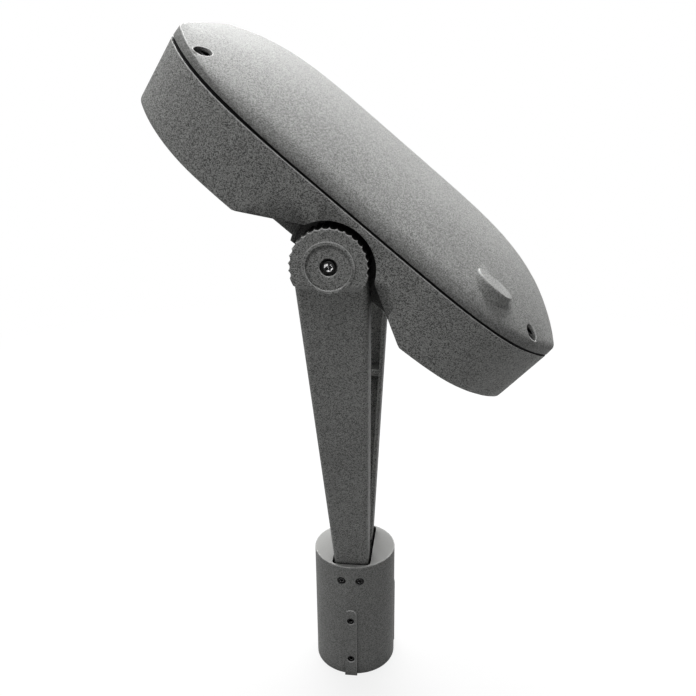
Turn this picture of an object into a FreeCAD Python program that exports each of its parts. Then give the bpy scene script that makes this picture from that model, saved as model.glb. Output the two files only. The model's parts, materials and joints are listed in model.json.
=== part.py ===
import FreeCAD, Part
import math
import os

# Adjustable LED street light head on a two-armed fork with a pole-top collar.
# Millimetres, +Z up. The origin is on the pole socket's axis at its open lower end.
# The near arm is at -Y, and the head is stored tilted down towards +X.

V = FreeCAD.Vector

# Driving dimensions of the collar
socket_radius = 39.0
socket_depth = 100.0
collar_wall = 5.5
collar_height = 142.0
web_thickness = 8.0
foot_pocket_wall = 5.8
foot_end_gap = 1.2
foot_side_gap = 2.6
pocket_corner_radius = 5.0
wire_hole_radius = 8.0
grommet_bore_radius = 5.5
grommet_lip = 1.6
grommet_lip_reach = 3.0
grommet_top_reach = 1.0
collar_edge_round = 0.8
rib_width = 13.6
rib_proud = 2.5
rib_top = 88.0
rib_count = 3
set_screw_radius = 4.0
set_screw_length = 6.0
set_screw_low_level = 22.6
set_screw_high_level = 73.5
arm_screw_level = 123.5
arm_screw_spacing = 19.8
arm_screw_radius = 2.5
arm_screw_head_radius = 4.2
arm_screw_head_height = 1.8
arm_screw_length = 16.0
arm_screw_counterbore_radius = 4.8
arm_screw_seat_depth = 4.2

# Driving dimensions of the fork
pivot_height = 505.0
arm_top_setback = 6.4
arm_depth = 26.0
arm_foot_half_width = 18.2
arm_pivot_half_width = 31.5
arm_web = 4.5
arm_corner_radius = 5.0
arm_rib_below_pivot = 184.0
arm_rib_thickness = 8.0
arm_rib_setback = 4.0
arm_shelf_below_pivot = 31.0
arm_shelf_thickness = 6.0
channel_foot_gap = 10.0
disc_inset = 5.0
disc_thickness = 26.6
disc_radius = 32.6
disc_tooth_count = 33
disc_tooth_depth = 1.5
disc_teeth_from = -10.9
disc_teeth_shown = 19
plateau_below_pivot = 15.5
plateau_ramp = 8.5
disc_ring_outer = 21.8
disc_ring_inner = 18.5
disc_ring_proud = 1.2
disc_ring_round = 0.6
disc_dish_depth = 1.0
disc_recess_radius = 7.3
disc_recess_depth = 5.5

# Driving dimensions of the tilt pivot
hub_radius = 26.0
hub_guard_radius = 40.5
hub_guard_wall = 3.5
hub_guard_face_y = 114.0
washer_thickness = 1.2
washer_radius = 25.0
face_gap = 0.2
spigot_radius = 12.0
spigot_length = 7.0
running_clearance = 0.05
pivot_screw_radius = 3.0
pivot_screw_head_radius = 5.25
pivot_screw_head_height = 3.8
pivot_screw_length = 50.0
pivot_screw_slot_half = 3.2
pivot_screw_blade_half = 0.65
screw_hole_clearance = 0.3
thread_clearance = 0.05

# Driving dimensions of the head, in its own level frame with the pivot at the origin
head_tilt = 40.0
head_length = 418.0
head_width = 332.0
head_end_width = 182.0
head_side_power = 4.8
head_corner_radius = 27.0
head_centre_u = -7.4
seam_level = 44.5
floor_level = -17.0
skirt_draft = 10.2
skirt_end_draft = 6.6
skirt_wall = 4.2
skirt_chamfer = 2.0
floor_thickness = 5.0
notch_radius = 38.4
notch_kink_u = 88.0
notch_flank_angle = 31.0
notch_blend = 8.0
pocket_wall = 4.0

# Driving dimensions of the cover
gasket_thickness = 1.6
gasket_inset = 1.8
gasket_width = 2.4
cover_wall = 3.2
cover_draft = 3.0
cover_end_level = 59.8
cover_crown_level = 86.2
cover_side_level = 60.2
cover_length_power = 4.6
cover_side_power = 2.0
cover_width_power = 2.14
cover_end_power = 5.1
cover_side_drop = 7.3
cover_end_drop = 2.2
cover_shoulder_power = 3.5
cover_boss_radius = 18.5
cover_boss_u = 114.6
cover_boss_y = -127.0
cover_boss_level = 72.1
cover_boss_round = 1.2
cover_screw_end_gap = 34.6
cover_screw_side_gap = 12.3
cover_screw_seat_level = 51.5
cover_screw_recess_radius = 7.1
cover_post_wall = 1.5
cover_foot_wall = 1.6
cover_screw_radius = 2.5
cover_screw_head_radius = 4.6
cover_screw_head_height = 3.2
cover_screw_length = 25.0
screw_boss_radius = 7.5

# Driving dimensions of the light windows
window_end_gap = 21.0
window_length = 84.0
window_width = 190.0
window_depth = 6.0
window_corner = 6.0
pad_margin = 5.0
pad_thickness = 4.0
pad_rib_count = 5
pad_rib_height = 12.0
pad_rib_thickness = 3.0
board_thickness = 1.6
board_edge_gap = 6.0
chip_size = 3.5
chip_height = 0.8
chip_rows = 3
chip_columns = 7
lens_thickness = 3.0
lens_edge_gap = 0.4
lens_base_radius = 8.5
lens_top_radius = 6.0
lens_rise = 3.4
lens_gasket_height = 2.7
lens_screw_radius = 1.5
lens_screw_head_radius = 2.8
lens_screw_head_height = 1.6
lens_screw_length = 7.0

# Driving dimensions of what is inside the head
driver_length = 150.0
driver_width = 62.0
driver_height = 34.0
driver_centre_u = -38.0
driver_end_gap = 7.0
driver_round = 3.0
driver_groove_depth = 2.0
bracket_thickness = 2.0
bracket_overhang = 12.0
bracket_boss_height = 4.0
bracket_boss_radius = 4.5
small_screw_radius = 2.0
small_screw_head_radius = 3.8
small_screw_head_height = 2.4
device_gap = 3.0
device_corner = 1.5
device_foot_margin = 1.0
surge_length = 60.0
surge_width = 30.0
surge_height = 24.0
terminal_length = 46.0
terminal_width = 22.0
terminal_height = 18.0
terminal_ways = 3
terminal_well_depth = 5.0
service_centre_u = 34.0
gland_thread_radius = 10.0
gland_bore_radius = 5.5
gland_flat_radius = 13.5
gland_flange_height = 5.0
gland_cap_height = 16.0
gland_nut_height = 5.0
gland_nut_step = 1.0
gland_cap_wall = 2.5
gland_thread_past_nut = 2.0
vent_u = 72.0
vent_y = -36.0
vent_thread_radius = 6.0
vent_head_radius = 9.0
vent_head_height = 5.0
vent_edge = 1.0
vent_slot_width = 1.2
vent_slot_top = 1.0
vent_slot_bottom = 2.5
vent_thread_past_floor = 3.0

# Values worked out from the driving dimensions
head_half_length = head_length / 2
head_half_width = head_width / 2
head_half_end = head_end_width / 2
rim_level = seam_level + gasket_thickness
window_centre_u = head_half_length - window_end_gap - window_length / 2
window_floor = floor_level + window_depth
floor_top = floor_level + floor_thickness
bracket_low = floor_top + bracket_boss_height
collar_radius = socket_radius + collar_wall
foot_level = socket_depth + web_thickness
pocket_half_y = collar_radius - foot_pocket_wall
pocket_half_x = arm_foot_half_width + foot_side_gap
arm_foot_y = pocket_half_y - foot_end_gap
arm_screw_seat_y = collar_radius - arm_screw_seat_depth
disc_face_y = head_half_width - disc_inset
disc_back_y = disc_face_y - disc_thickness
hub_face_y = disc_back_y - face_gap - washer_thickness
arm_splay = (disc_face_y - arm_top_setback - arm_foot_y) / (pivot_height - collar_height)
arm_rib_level = pivot_height - arm_rib_below_pivot
shelf_level = pivot_height - arm_shelf_below_pivot
core_half_y = driver_length / 2 + bracket_overhang + driver_end_gap + pocket_wall
device_foot = 2 * small_screw_head_radius + device_foot_margin
gland_corner_radius = gland_flat_radius / math.cos(math.radians(30))
surge_centre_y = -(gland_corner_radius + device_gap + surge_length / 2)
terminal_centre_y = gland_corner_radius + device_gap + terminal_length / 2
full_turn = 360.0
past = 1.0


def box(x_low, x_high, y_low, y_high, z_low, z_high):
    """A box from its six limits."""
    size = (x_high - x_low, y_high - y_low, z_high - z_low)
    return Part.makeBox(*size, V(x_low, y_low, z_low))


def rod(radius, start, direction, length):
    """A round bar from a start point along a direction."""
    return Part.makeCylinder(radius, length, start, direction)


def prism(points, direction):
    """A straight-sided outline swept along a vector."""
    return Part.Face(Part.makePolygon(points + [points[0]])).extrude(direction)


def rounded_block(x_half, y_half, z_low, z_high, corner, centre_x=0.0, centre_y=0.0):
    """A block with rounded upright edges."""
    block = box(centre_x - x_half, centre_x + x_half, centre_y - y_half, centre_y + y_half, z_low, z_high)
    upright = [edge for edge in block.Edges if abs(edge.tangentAt(edge.FirstParameter).z) > 0.99]
    return block.makeFillet(corner, upright)


def both_sides(shape):
    """The shape and its mirror image across the plane between the arms."""
    return [shape, shape.mirror(V(0, 0, 0), V(0, 1, 0))]


def in_place(shape):
    """Moves a piece of the head from its level frame to the stored tilt on the fork."""
    moved = shape.copy()
    moved.rotate(V(0, 0, 0), V(0, 1, 0), head_tilt)
    moved.translate(V(0, 0, pivot_height))
    return moved


def save(name, shapes):
    """Writes the solids of one piece, or of a group of equal pieces, to one file."""
    solids = [solid for shape in shapes for solid in shape.Solids]
    shape = solids[0] if len(solids) == 1 else Part.makeCompound(solids)
    shape.exportStep(f"parts/{name}.step")
    print(name, len(solids), "solids", round(shape.Volume / 1000, 1), "cm3", "valid" if shape.isValid() else "INVALID")


# Collar

def collar_rib_outline():
    """The rounded upright strip that carries one row of set screws, as a face at x = 0."""
    half = rib_width / 2
    low, high = V(0, -half, 0), V(0, half, 0)
    high_end, low_end = V(0, half, rib_top - half), V(0, -half, rib_top - half)
    edges = [
        Part.LineSegment(low, high).toShape(),
        Part.LineSegment(high, high_end).toShape(),
        Part.Arc(high_end, V(0, 0, rib_top), low_end).toShape(),
        Part.LineSegment(low_end, low).toShape(),
    ]
    return Part.Face(Part.Wire(edges))


def rib_angles():
    return [full_turn * index / rib_count - full_turn / 4 for index in range(rib_count)]


def pole_collar():
    """Cast cup that slips over the pole, with a pocket on top for the fork's two feet."""
    body = rod(collar_radius, V(0, 0, 0), V(0, 0, 1), collar_height)
    outer_ends = [edge for edge in body.Edges if isinstance(edge.Curve, Part.Circle)]
    body = body.makeFillet(collar_edge_round, outer_ends)
    for angle in rib_angles():
        rib = collar_rib_outline().extrude(V(collar_radius + rib_proud, 0, 0))
        rib.rotate(V(0, 0, 0), V(0, 0, 1), angle)
        body = body.fuse(rib)
    body = body.cut(rod(socket_radius, V(0, 0, -past), V(0, 0, 1), socket_depth + past))
    pocket = rounded_block(pocket_half_x, pocket_half_y, foot_level, collar_height + past, pocket_corner_radius)
    body = body.cut(pocket)
    body = body.cut(rod(wire_hole_radius, V(0, 0, socket_depth - past), V(0, 0, 1), web_thickness + 2 * past))
    lip_seat = rod(wire_hole_radius + grommet_lip_reach + screw_hole_clearance, V(0, 0, socket_depth - past),
                   V(0, 0, 1), grommet_lip + past)
    body = body.cut(lip_seat)
    for angle in rib_angles():
        for level in (set_screw_low_level, set_screw_high_level):
            hole = rod(set_screw_radius + thread_clearance, V(socket_radius / 2, 0, level), V(1, 0, 0), collar_radius)
            hole.rotate(V(0, 0, 0), V(0, 0, 1), angle)
            body = body.cut(hole)
    for x in (-arm_screw_spacing / 2, arm_screw_spacing / 2):
        through = rod(arm_screw_radius + screw_hole_clearance, V(x, 0, arm_screw_level), V(0, 1, 0), collar_radius)
        seat = rod(arm_screw_counterbore_radius, V(x, arm_screw_seat_y, arm_screw_level), V(0, 1, 0), rib_width)
        for cutter in both_sides(through.fuse(seat)):
            body = body.cut(cutter)
    return body


def set_screws():
    """Headless screws with a hexagon socket, flush with the socket's wall."""
    screws = []
    for angle in rib_angles():
        for level in (set_screw_low_level, set_screw_high_level):
            start = socket_radius + screw_hole_clearance
            screw = rod(set_screw_radius, V(start, 0, level), V(1, 0, 0), set_screw_length)
            key = hexagon(set_screw_radius / 2, V(start + set_screw_length / 2, 0, level), V(1, 0, 0))
            screw = screw.cut(key.extrude(V(set_screw_length, 0, 0)))
            screw.rotate(V(0, 0, 0), V(0, 0, 1), angle)
            screws.append(screw)
    return screws


def hexagon(flat_radius, centre, axis):
    """A hexagonal face across an axis, from the distance between its middle and a flat."""
    corner_radius = flat_radius / math.cos(math.radians(30))
    side = axis.cross(V(0, 0, 1)) if abs(axis.z) < 0.9 else V(1, 0, 0)
    up = axis.cross(side)
    corners = []
    for index in range(6):
        turn = math.radians(full_turn * index / 6)
        corners.append(centre + side * (corner_radius * math.cos(turn)) + up * (corner_radius * math.sin(turn)))
    return Part.Face(Part.makePolygon(corners + [corners[0]]))


def wire_grommet():
    """Rubber ring that lines the cable hole in the collar's web, its lower lip sunk flush."""
    profile = [
        V(grommet_bore_radius, 0, socket_depth),
        V(wire_hole_radius + grommet_lip_reach, 0, socket_depth),
        V(wire_hole_radius + grommet_lip_reach, 0, socket_depth + grommet_lip),
        V(wire_hole_radius, 0, socket_depth + grommet_lip),
        V(wire_hole_radius, 0, foot_level),
        V(wire_hole_radius + grommet_top_reach, 0, foot_level),
        V(wire_hole_radius + grommet_top_reach, 0, foot_level + grommet_lip),
        V(grommet_bore_radius, 0, foot_level + grommet_lip),
    ]
    return Part.Face(Part.makePolygon(profile + [profile[0]])).revolve(V(0, 0, 0), V(0, 0, 1), full_turn)


def arm_screws():
    """Socket screws that hold the two feet in the collar's pocket, two on each side."""
    screws = []
    for x in (-arm_screw_spacing / 2, arm_screw_spacing / 2):
        seat = V(x, arm_screw_seat_y, arm_screw_level)
        head = rod(arm_screw_head_radius, seat, V(0, 1, 0), arm_screw_head_height)
        shank = rod(arm_screw_radius, seat - V(0, arm_screw_length, 0), V(0, 1, 0), arm_screw_length)
        key_centre = seat + V(0, arm_screw_head_height / 2, 0)
        key = hexagon(arm_screw_head_radius / 2, key_centre, V(0, 1, 0)).extrude(V(0, arm_screw_head_height, 0))
        screws += both_sides(head.fuse(shank).cut(key))
    return screws


# Fork arms, drawn on the +Y side

def arm_outer_y(level):
    """Distance of the arm's slanted outer face from the plane between the arms."""
    return arm_foot_y + arm_splay * max(level - collar_height, 0.0)


def arm_half_width(level):
    share = (level - collar_height) / (pivot_height - collar_height)
    return arm_foot_half_width + (arm_pivot_half_width - arm_foot_half_width) * max(share, 0.0)


def arm_section(level, inset=0.0):
    """Level section of the arm: an oblong with its two outer corners rounded."""
    half, outer = arm_half_width(level) - inset, arm_outer_y(level) - inset
    inner = arm_outer_y(level) - arm_depth - 2 * inset
    corner = arm_corner_radius - inset / 2
    bend = corner * (1 - math.sqrt(0.5))
    edges = [
        Part.LineSegment(V(-half, inner, level), V(half, inner, level)).toShape(),
        Part.LineSegment(V(half, inner, level), V(half, outer - corner, level)).toShape(),
        Part.Arc(V(half, outer - corner, level), V(half - bend, outer - bend, level),
                 V(half - corner, outer, level)).toShape(),
        Part.LineSegment(V(half - corner, outer, level), V(corner - half, outer, level)).toShape(),
        Part.Arc(V(corner - half, outer, level), V(bend - half, outer - bend, level),
                 V(-half, outer - corner, level)).toShape(),
        Part.LineSegment(V(-half, outer - corner, level), V(-half, inner, level)).toShape(),
    ]
    return Part.Wire(edges)


def arm_beam():
    """Slanted beam with a straight foot, cut back behind the disc to clear the head's hub."""
    sections = [arm_section(foot_level), arm_section(collar_height), arm_section(pivot_height)]
    beam = Part.makeLoft(sections, True, True)
    return beam.cut(box(-collar_radius, collar_radius, 0, disc_back_y, shelf_level, pivot_height + 1))


def arm_channel():
    """The hollow that opens towards the other arm, parted by one cross rib."""
    low, high = collar_height + channel_foot_gap, shelf_level - arm_shelf_thickness
    hollow = Part.makeLoft([arm_section(low, arm_web), arm_section(high, arm_web)], True, True)
    rib_low, rib_high = arm_rib_level - arm_rib_thickness / 2, arm_rib_level + arm_rib_thickness / 2
    rib_edge = arm_outer_y(rib_low) - arm_depth + arm_rib_setback
    return hollow.cut(box(-disc_radius, disc_radius, rib_edge, disc_face_y, rib_low, rib_high))


def scalloped_disc():
    """Disc across the pivot with hollow scallops along the part of its rim that stands free."""
    step = full_turn / disc_tooth_count
    edges = []

    def rim(angle, radius=disc_radius):
        turn = math.radians(angle)
        return V(radius * math.cos(turn), disc_back_y, pivot_height + radius * math.sin(turn))

    for index in range(disc_teeth_shown):
        start = disc_teeth_from + step * index
        valley = rim(start + step / 2, disc_radius - disc_tooth_depth)
        edges.append(Part.Arc(rim(start), valley, rim(start + step)).toShape())
    last = disc_teeth_from + step * disc_teeth_shown
    first = disc_teeth_from + full_turn
    edges.append(Part.Arc(rim(last), rim((last + first) / 2), rim(first)).toShape())
    return Part.Face(Part.Wire(edges)).extrude(V(0, disc_face_y - disc_back_y, 0))


def arm():
    """One cast arm: foot, channel beam, toothed pivot disc, ring, screw recess and spigot."""
    across = V(0, 1, 0)

    def on_axis(y):
        return V(0, y, pivot_height)

    disc = scalloped_disc()
    chord = pivot_height - plateau_below_pivot
    ramp_foot = chord - plateau_ramp
    lowest = pivot_height - disc_radius - 1
    wedge = [
        V(-disc_radius - 1, disc_face_y + 1, chord),
        V(-disc_radius - 1, disc_face_y, chord),
        V(-disc_radius - 1, arm_outer_y(ramp_foot), ramp_foot),
        V(-disc_radius - 1, arm_outer_y(lowest), lowest),
        V(-disc_radius - 1, disc_face_y + 1, lowest),
    ]
    disc = disc.cut(prism(wedge, V(2 * disc_radius + 2, 0, 0)))
    ring_depth = disc_face_y - disc_back_y + disc_ring_proud
    boss = rod(disc_ring_outer, on_axis(disc_back_y), across, ring_depth)
    proud = [edge for edge in boss.Edges if edge.CenterOfMass.y > disc_face_y]
    boss = boss.makeFillet(disc_ring_round, proud)
    body = arm_beam().cut(arm_channel()).fuse([disc, boss])
    dish_y = disc_face_y - disc_dish_depth
    body = body.cut(rod(disc_ring_inner, on_axis(dish_y), across, ring_depth))
    body = body.cut(rod(disc_recess_radius, on_axis(disc_face_y - disc_recess_depth), across, ring_depth))
    body = body.fuse(rod(spigot_radius, on_axis(disc_back_y - spigot_length), across, spigot_length))
    hole = rod(pivot_screw_radius + screw_hole_clearance, on_axis(hub_face_y - pivot_screw_length), across, disc_face_y)
    body = body.cut(hole)
    for x in (-arm_screw_spacing / 2, arm_screw_spacing / 2):
        tip = V(x, arm_screw_seat_y - arm_screw_length - 1, arm_screw_level)
        body = body.cut(rod(arm_screw_radius + thread_clearance, tip, across, arm_foot_y))
    return body.removeSplitter()


# Tilt pivot, in the head's level frame on the +Y side

def pivot_screw():
    """Pan-head screw with a cross recess, from the arm's recess into the head's hub."""
    seat = V(0, disc_face_y - disc_recess_depth, 0)
    head = rod(pivot_screw_head_radius, seat, V(0, 1, 0), pivot_screw_head_height)
    rim = [edge for edge in head.Edges if edge.CenterOfMass.y > seat.y + pivot_screw_head_height / 2]
    head = head.makeFillet(pivot_screw_head_height / 3, [edge for edge in rim if isinstance(edge.Curve, Part.Circle)])
    shank = rod(pivot_screw_radius, seat - V(0, pivot_screw_length, 0), V(0, 1, 0), pivot_screw_length)
    slot_half, blade_half = pivot_screw_slot_half, pivot_screw_blade_half
    low, high = seat.y + pivot_screw_head_height / 2, seat.y + pivot_screw_head_height + 1
    cross = box(-slot_half, slot_half, low, high, -blade_half, blade_half)
    cross = cross.fuse(box(-blade_half, blade_half, low, high, -slot_half, slot_half))
    return head.fuse(shank).cut(cross)


def pivot_washer():
    """Friction washer between the hub's face and the back of the arm's disc."""
    outer = rod(washer_radius, V(0, hub_face_y, 0), V(0, 1, 0), washer_thickness)
    bore_length = washer_thickness + 2 * past
    bore = rod(spigot_radius + screw_hole_clearance, V(0, hub_face_y - past, 0), V(0, 1, 0), bore_length)
    return outer.cut(bore)


# Head outline

def side_y(u):
    """Half width of the head at a distance from its middle, before the corners are rounded."""
    share = abs(u / head_half_length)
    return head_half_width - (head_half_width - head_half_end) * share ** head_side_power


def side_slope(u):
    share = abs(u / head_half_length)
    drop = (head_half_width - head_half_end) * head_side_power / head_half_length
    return -drop * share ** (head_side_power - 1) * (1 if u > 0 else -1)


def offset_side(u, inset):
    """The side curve's point at u, moved inwards square to the curve."""
    slope = side_slope(u)
    length = math.hypot(1.0, slope)
    return V(u + inset * slope / length, side_y(u) - inset / length, 0)


def corner_start():
    """Where the side curve meets the corner's arc, found by halving."""
    low, high = 0.0, head_half_length
    for _ in range(50):
        middle = (low + high) / 2
        if offset_side(middle, head_corner_radius).x < head_half_length - head_corner_radius:
            low = middle
        else:
            high = middle
    return low


def end_stretch(level):
    """How much longer the skirt's outline is than an even draft makes it, as its ends stand steeper."""
    gain = math.tan(math.radians(skirt_draft)) - math.tan(math.radians(skirt_end_draft))
    return 1 + max(seam_level - level, 0.0) * gain / head_half_length


def head_outline(inset, level):
    """Closed outline of the head at one level: two bowed sides, four round corners, two ends."""
    join = corner_start()
    centre = offset_side(join, head_corner_radius)
    radius = head_corner_radius - inset
    count = 12
    side = [offset_side(join * math.sin(math.pi / 2 * (2 * index / count - 1)), inset) for index in range(count + 1)]
    slope = side_slope(join)
    start = side[-1]
    lean = math.atan2(start.y - centre.y, start.x - centre.x) / 2
    middle = centre + V(radius * math.cos(lean), radius * math.sin(lean), 0)
    end = centre + V(radius, 0, 0)

    def at(point, mirror_u=1, mirror_y=1):
        return V(point.x * mirror_u * end_stretch(level) + head_centre_u, point.y * mirror_y, level)

    edges = []
    for mirror_y in (1, -1):
        curve = Part.BSplineCurve()
        tangents = [V(1, -slope * mirror_y, 0), V(1, slope * mirror_y, 0)]
        curve.interpolate(Points=[at(point, 1, mirror_y) for point in side],
                          InitialTangent=tangents[0], FinalTangent=tangents[1])
        edges.append(curve.toShape())
        for mirror_u in (1, -1):
            arc = Part.Arc(*[at(point, mirror_u, mirror_y) for point in (start, middle, end)])
            edges.append(arc.toShape())
    for mirror_u in (1, -1):
        edges.append(Part.LineSegment(at(end, mirror_u, 1), at(end, mirror_u, -1)).toShape())
    return Part.Wire(Part.__sortEdges__(edges))


def outline_body(sections):
    """Straight-walled body through outlines given as pairs of inset and level."""
    return Part.makeLoft([head_outline(inset, level) for inset, level in sections], True, True)


def skirt_inset(level):
    return (seam_level - level) * math.tan(math.radians(skirt_draft))


# Head housing, in the head's level frame

def notch(grow, y_low):
    """Space for an arm in the head's side: an arch round the disc with flared flanks."""
    slope = math.radians(notch_flank_angle)
    kink = V(notch_kink_u + grow * math.sin(slope), y_low, floor_level + grow * math.cos(slope))
    along = V(-math.cos(slope), 0, math.sin(slope))
    radius = notch_radius + grow
    reach = kink.x * along.x + kink.z * along.z
    off_circle = kink.x ** 2 + kink.z ** 2 - radius ** 2
    meet = kink + along * (-reach - math.sqrt(max(reach ** 2 - off_circle, 0.0)))
    below = kink - along * (2 * floor_thickness / math.sin(slope))
    right = [below, meet]
    left = [V(-point.x, point.y, point.z) for point in right]
    edges = [
        Part.LineSegment(right[0], right[1]).toShape(),
        Part.Arc(right[1], V(0, y_low, radius), left[1]).toShape(),
        Part.LineSegment(left[1], left[0]).toShape(),
        Part.LineSegment(left[0], right[0]).toShape(),
    ]
    solid = Part.Face(Part.Wire(edges)).extrude(V(0, head_half_width + 2 * grow + floor_thickness - y_low, 0))
    bends = [edge for edge in solid.Edges if abs(abs(edge.CenterOfMass.x) - meet.x) < 0.01
             and abs(edge.tangentAt(edge.FirstParameter).y) > 0.99]
    return solid.makeFillet(notch_blend, bends)


def hub_guard():
    """Round wall about the hub that keeps dirt from the joint, on the +Y side."""
    start, across = V(0, core_half_y - 1, 0), V(0, 1, 0)
    length = hub_guard_face_y - core_half_y + 1
    inner = rod(hub_guard_radius - hub_guard_wall, start - across, across, length + 2)
    return rod(hub_guard_radius, start, across, length).cut(inner)


def window_centres():
    return [head_centre_u - window_centre_u, head_centre_u + window_centre_u]


def corner_screw_places():
    """One screw in each corner, at set gaps from the head's end and side."""
    along = head_half_length - cover_screw_end_gap
    across = side_y(along) - cover_screw_side_gap
    return [V(head_centre_u + mirror_u * along, mirror_y * across, 0)
            for mirror_u in (1, -1) for mirror_y in (1, -1)]


def lens_screw_places(centre_u):
    """Screws along the two long sides of a light window, clear of its round corners."""
    half_u = window_length / 2 - board_edge_gap / 2
    half_y = window_width / 2 - window_corner - lens_screw_head_radius
    return [V(centre_u + mirror * half_u, step * half_y / 3, 0)
            for mirror in (1, -1) for step in (-3, -1, 1, 3)]


def bracket_screw_places():
    half_y = driver_length / 2 + bracket_overhang / 2
    half_u = driver_width / 2 - bracket_overhang
    return [V(driver_centre_u + mirror_u * half_u, mirror_y * half_y, 0)
            for mirror_u in (1, -1) for mirror_y in (1, -1)]


def service_boss_places():
    """Two small bosses each under the surge protector and the terminal block."""
    places = []
    for centre_y, length in ((surge_centre_y, surge_length), (terminal_centre_y, terminal_length)):
        for mirror in (1, -1):
            places.append(V(service_centre_u, centre_y + mirror * (length / 2 - small_screw_head_radius), 0))
    return places


def head_housing():
    """Cast tray: drafted skirt, floor, two arm pockets with hubs, window pads, bosses and ribs."""
    up = V(0, 0, 1)
    low_inset = skirt_inset(floor_level)
    outer = outline_body([(low_inset + skirt_chamfer, floor_level),
                          (skirt_inset(floor_level + skirt_chamfer), floor_level + skirt_chamfer),
                          (0.0, seam_level)])
    hollow = outline_body([(skirt_inset(floor_top) + skirt_wall, floor_top),
                           (skirt_inset(seam_level + 1) + skirt_wall, seam_level + 1)])
    for liner in both_sides(notch(pocket_wall, core_half_y - pocket_wall)):
        hollow = hollow.cut(liner)
    body = outer.cut(hollow)
    for space in both_sides(notch(0.0, core_half_y)):
        body = body.cut(space)
    body = body.fuse(both_sides(rod(hub_radius, V(0, core_half_y - 1, 0), V(0, 1, 0), hub_face_y - core_half_y + 1)))
    body = body.fuse(both_sides(hub_guard().common(outer)))
    additions = []
    for centre_u in window_centres():
        half_u, half_y = window_length / 2 + pad_margin, window_width / 2 + pad_margin
        pad = rounded_block(half_u, half_y, floor_level + 1, window_floor + pad_thickness, window_corner, centre_u)
        additions.append(pad)
        for index in range(pad_rib_count):
            rib_y = window_width * ((index + 0.5) / pad_rib_count - 0.5)
            rib_low = window_floor + pad_thickness - 1
            additions.append(box(centre_u - half_u + pad_margin, centre_u + half_u - pad_margin,
                                 rib_y - pad_rib_thickness / 2, rib_y + pad_rib_thickness / 2,
                                 rib_low, rib_low + pad_rib_height))
    for place in corner_screw_places():
        boss = rod(screw_boss_radius, place + up * (floor_top - 1), up, seam_level - floor_top + 1)
        additions.append(boss.common(outer))
    for place in bracket_screw_places() + service_boss_places():
        additions.append(rod(bracket_boss_radius, place + up * (floor_top - 1), up, bracket_boss_height + 1))
    body = body.fuse(additions)
    cutters = []
    for centre_u in window_centres():
        recess = rounded_block(window_length / 2, window_width / 2, floor_level - past, window_floor,
                               window_corner, centre_u)
        cutters.append(recess)
        for place in lens_screw_places(centre_u):
            cutters.append(rod(lens_screw_radius + thread_clearance, place + up * (window_floor - 1), up,
                               pad_thickness))
    for place in corner_screw_places():
        cutters.append(rod(cover_screw_radius + thread_clearance, place + up * (seam_level - cover_screw_length), up,
                           cover_screw_length + 1))
    for place in bracket_screw_places() + service_boss_places():
        cutters.append(rod(small_screw_radius + thread_clearance, place + up * (floor_top - 1), up,
                           bracket_boss_height + 2))
    cutters.append(rod(gland_thread_radius + screw_hole_clearance, V(service_centre_u, 0, floor_level - 1), up,
                       2 * floor_thickness))
    cutters.append(rod(vent_thread_radius + screw_hole_clearance, V(vent_u, vent_y, floor_level - 1), up,
                       2 * floor_thickness))
    across = V(0, 1, 0)
    socket_y = disc_back_y - spigot_length - face_gap
    socket = rod(spigot_radius + running_clearance, V(0, socket_y, 0), across, spigot_length + 2)
    tip_y = disc_face_y - disc_recess_depth - pivot_screw_length - 1
    thread = rod(pivot_screw_radius + thread_clearance, V(0, tip_y, 0), across, hub_face_y - tip_y + 1)
    cutters += both_sides(socket.fuse(thread))
    return body.cut(cutters).removeSplitter()


def cover_gasket():
    """Thin rubber ring between the housing's rim and the cover."""
    outer = outline_body([(gasket_inset, seam_level), (gasket_inset, rim_level)])
    inner_inset = gasket_inset + gasket_width
    return outer.cut(outline_body([(inner_inset, seam_level - 1), (inner_inset, rim_level + 1)]))


# Cover, in the head's level frame

def dome_level(u, share):
    """Height of the cover at a distance from the middle and a share of the half width."""
    along = abs(u / head_half_length)
    crown = cover_end_level + (cover_crown_level - cover_end_level) * (1 - along ** cover_length_power)
    side = cover_end_level + (cover_side_level - cover_end_level) * (1 - along ** cover_side_power)
    drop = cover_side_drop + (cover_end_drop - cover_side_drop) * along ** cover_end_power
    shoulder = drop * abs(share) ** cover_shoulder_power
    return side + (crown - side) * (1 - abs(share) ** cover_width_power) - shoulder


def dome_body(lowered):
    """Everything under the domed top surface, which is one smooth patch through a grid."""
    past_edge = gasket_thickness + cover_wall
    lines, columns = 15, 17
    grid = []
    for row in range(lines):
        u = (head_half_length + past_edge) * math.sin(math.pi / 2 * (2 * row / (lines - 1) - 1))
        line = []
        for column in range(columns):
            share = math.sin(math.pi / 2 * (2 * column / (columns - 1) - 1)) * (1 + past_edge / head_half_width)
            reach = side_y(min(abs(u), head_half_length))
            level = dome_level(max(min(u, head_half_length), -head_half_length), share)
            line.append(V(u + head_centre_u, share * reach, level - lowered))
        grid.append(line)
    surface = Part.BSplineSurface()
    surface.interpolate(grid)
    return surface.toShape().extrude(V(0, 0, seam_level - 2 * cover_crown_level))


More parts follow.
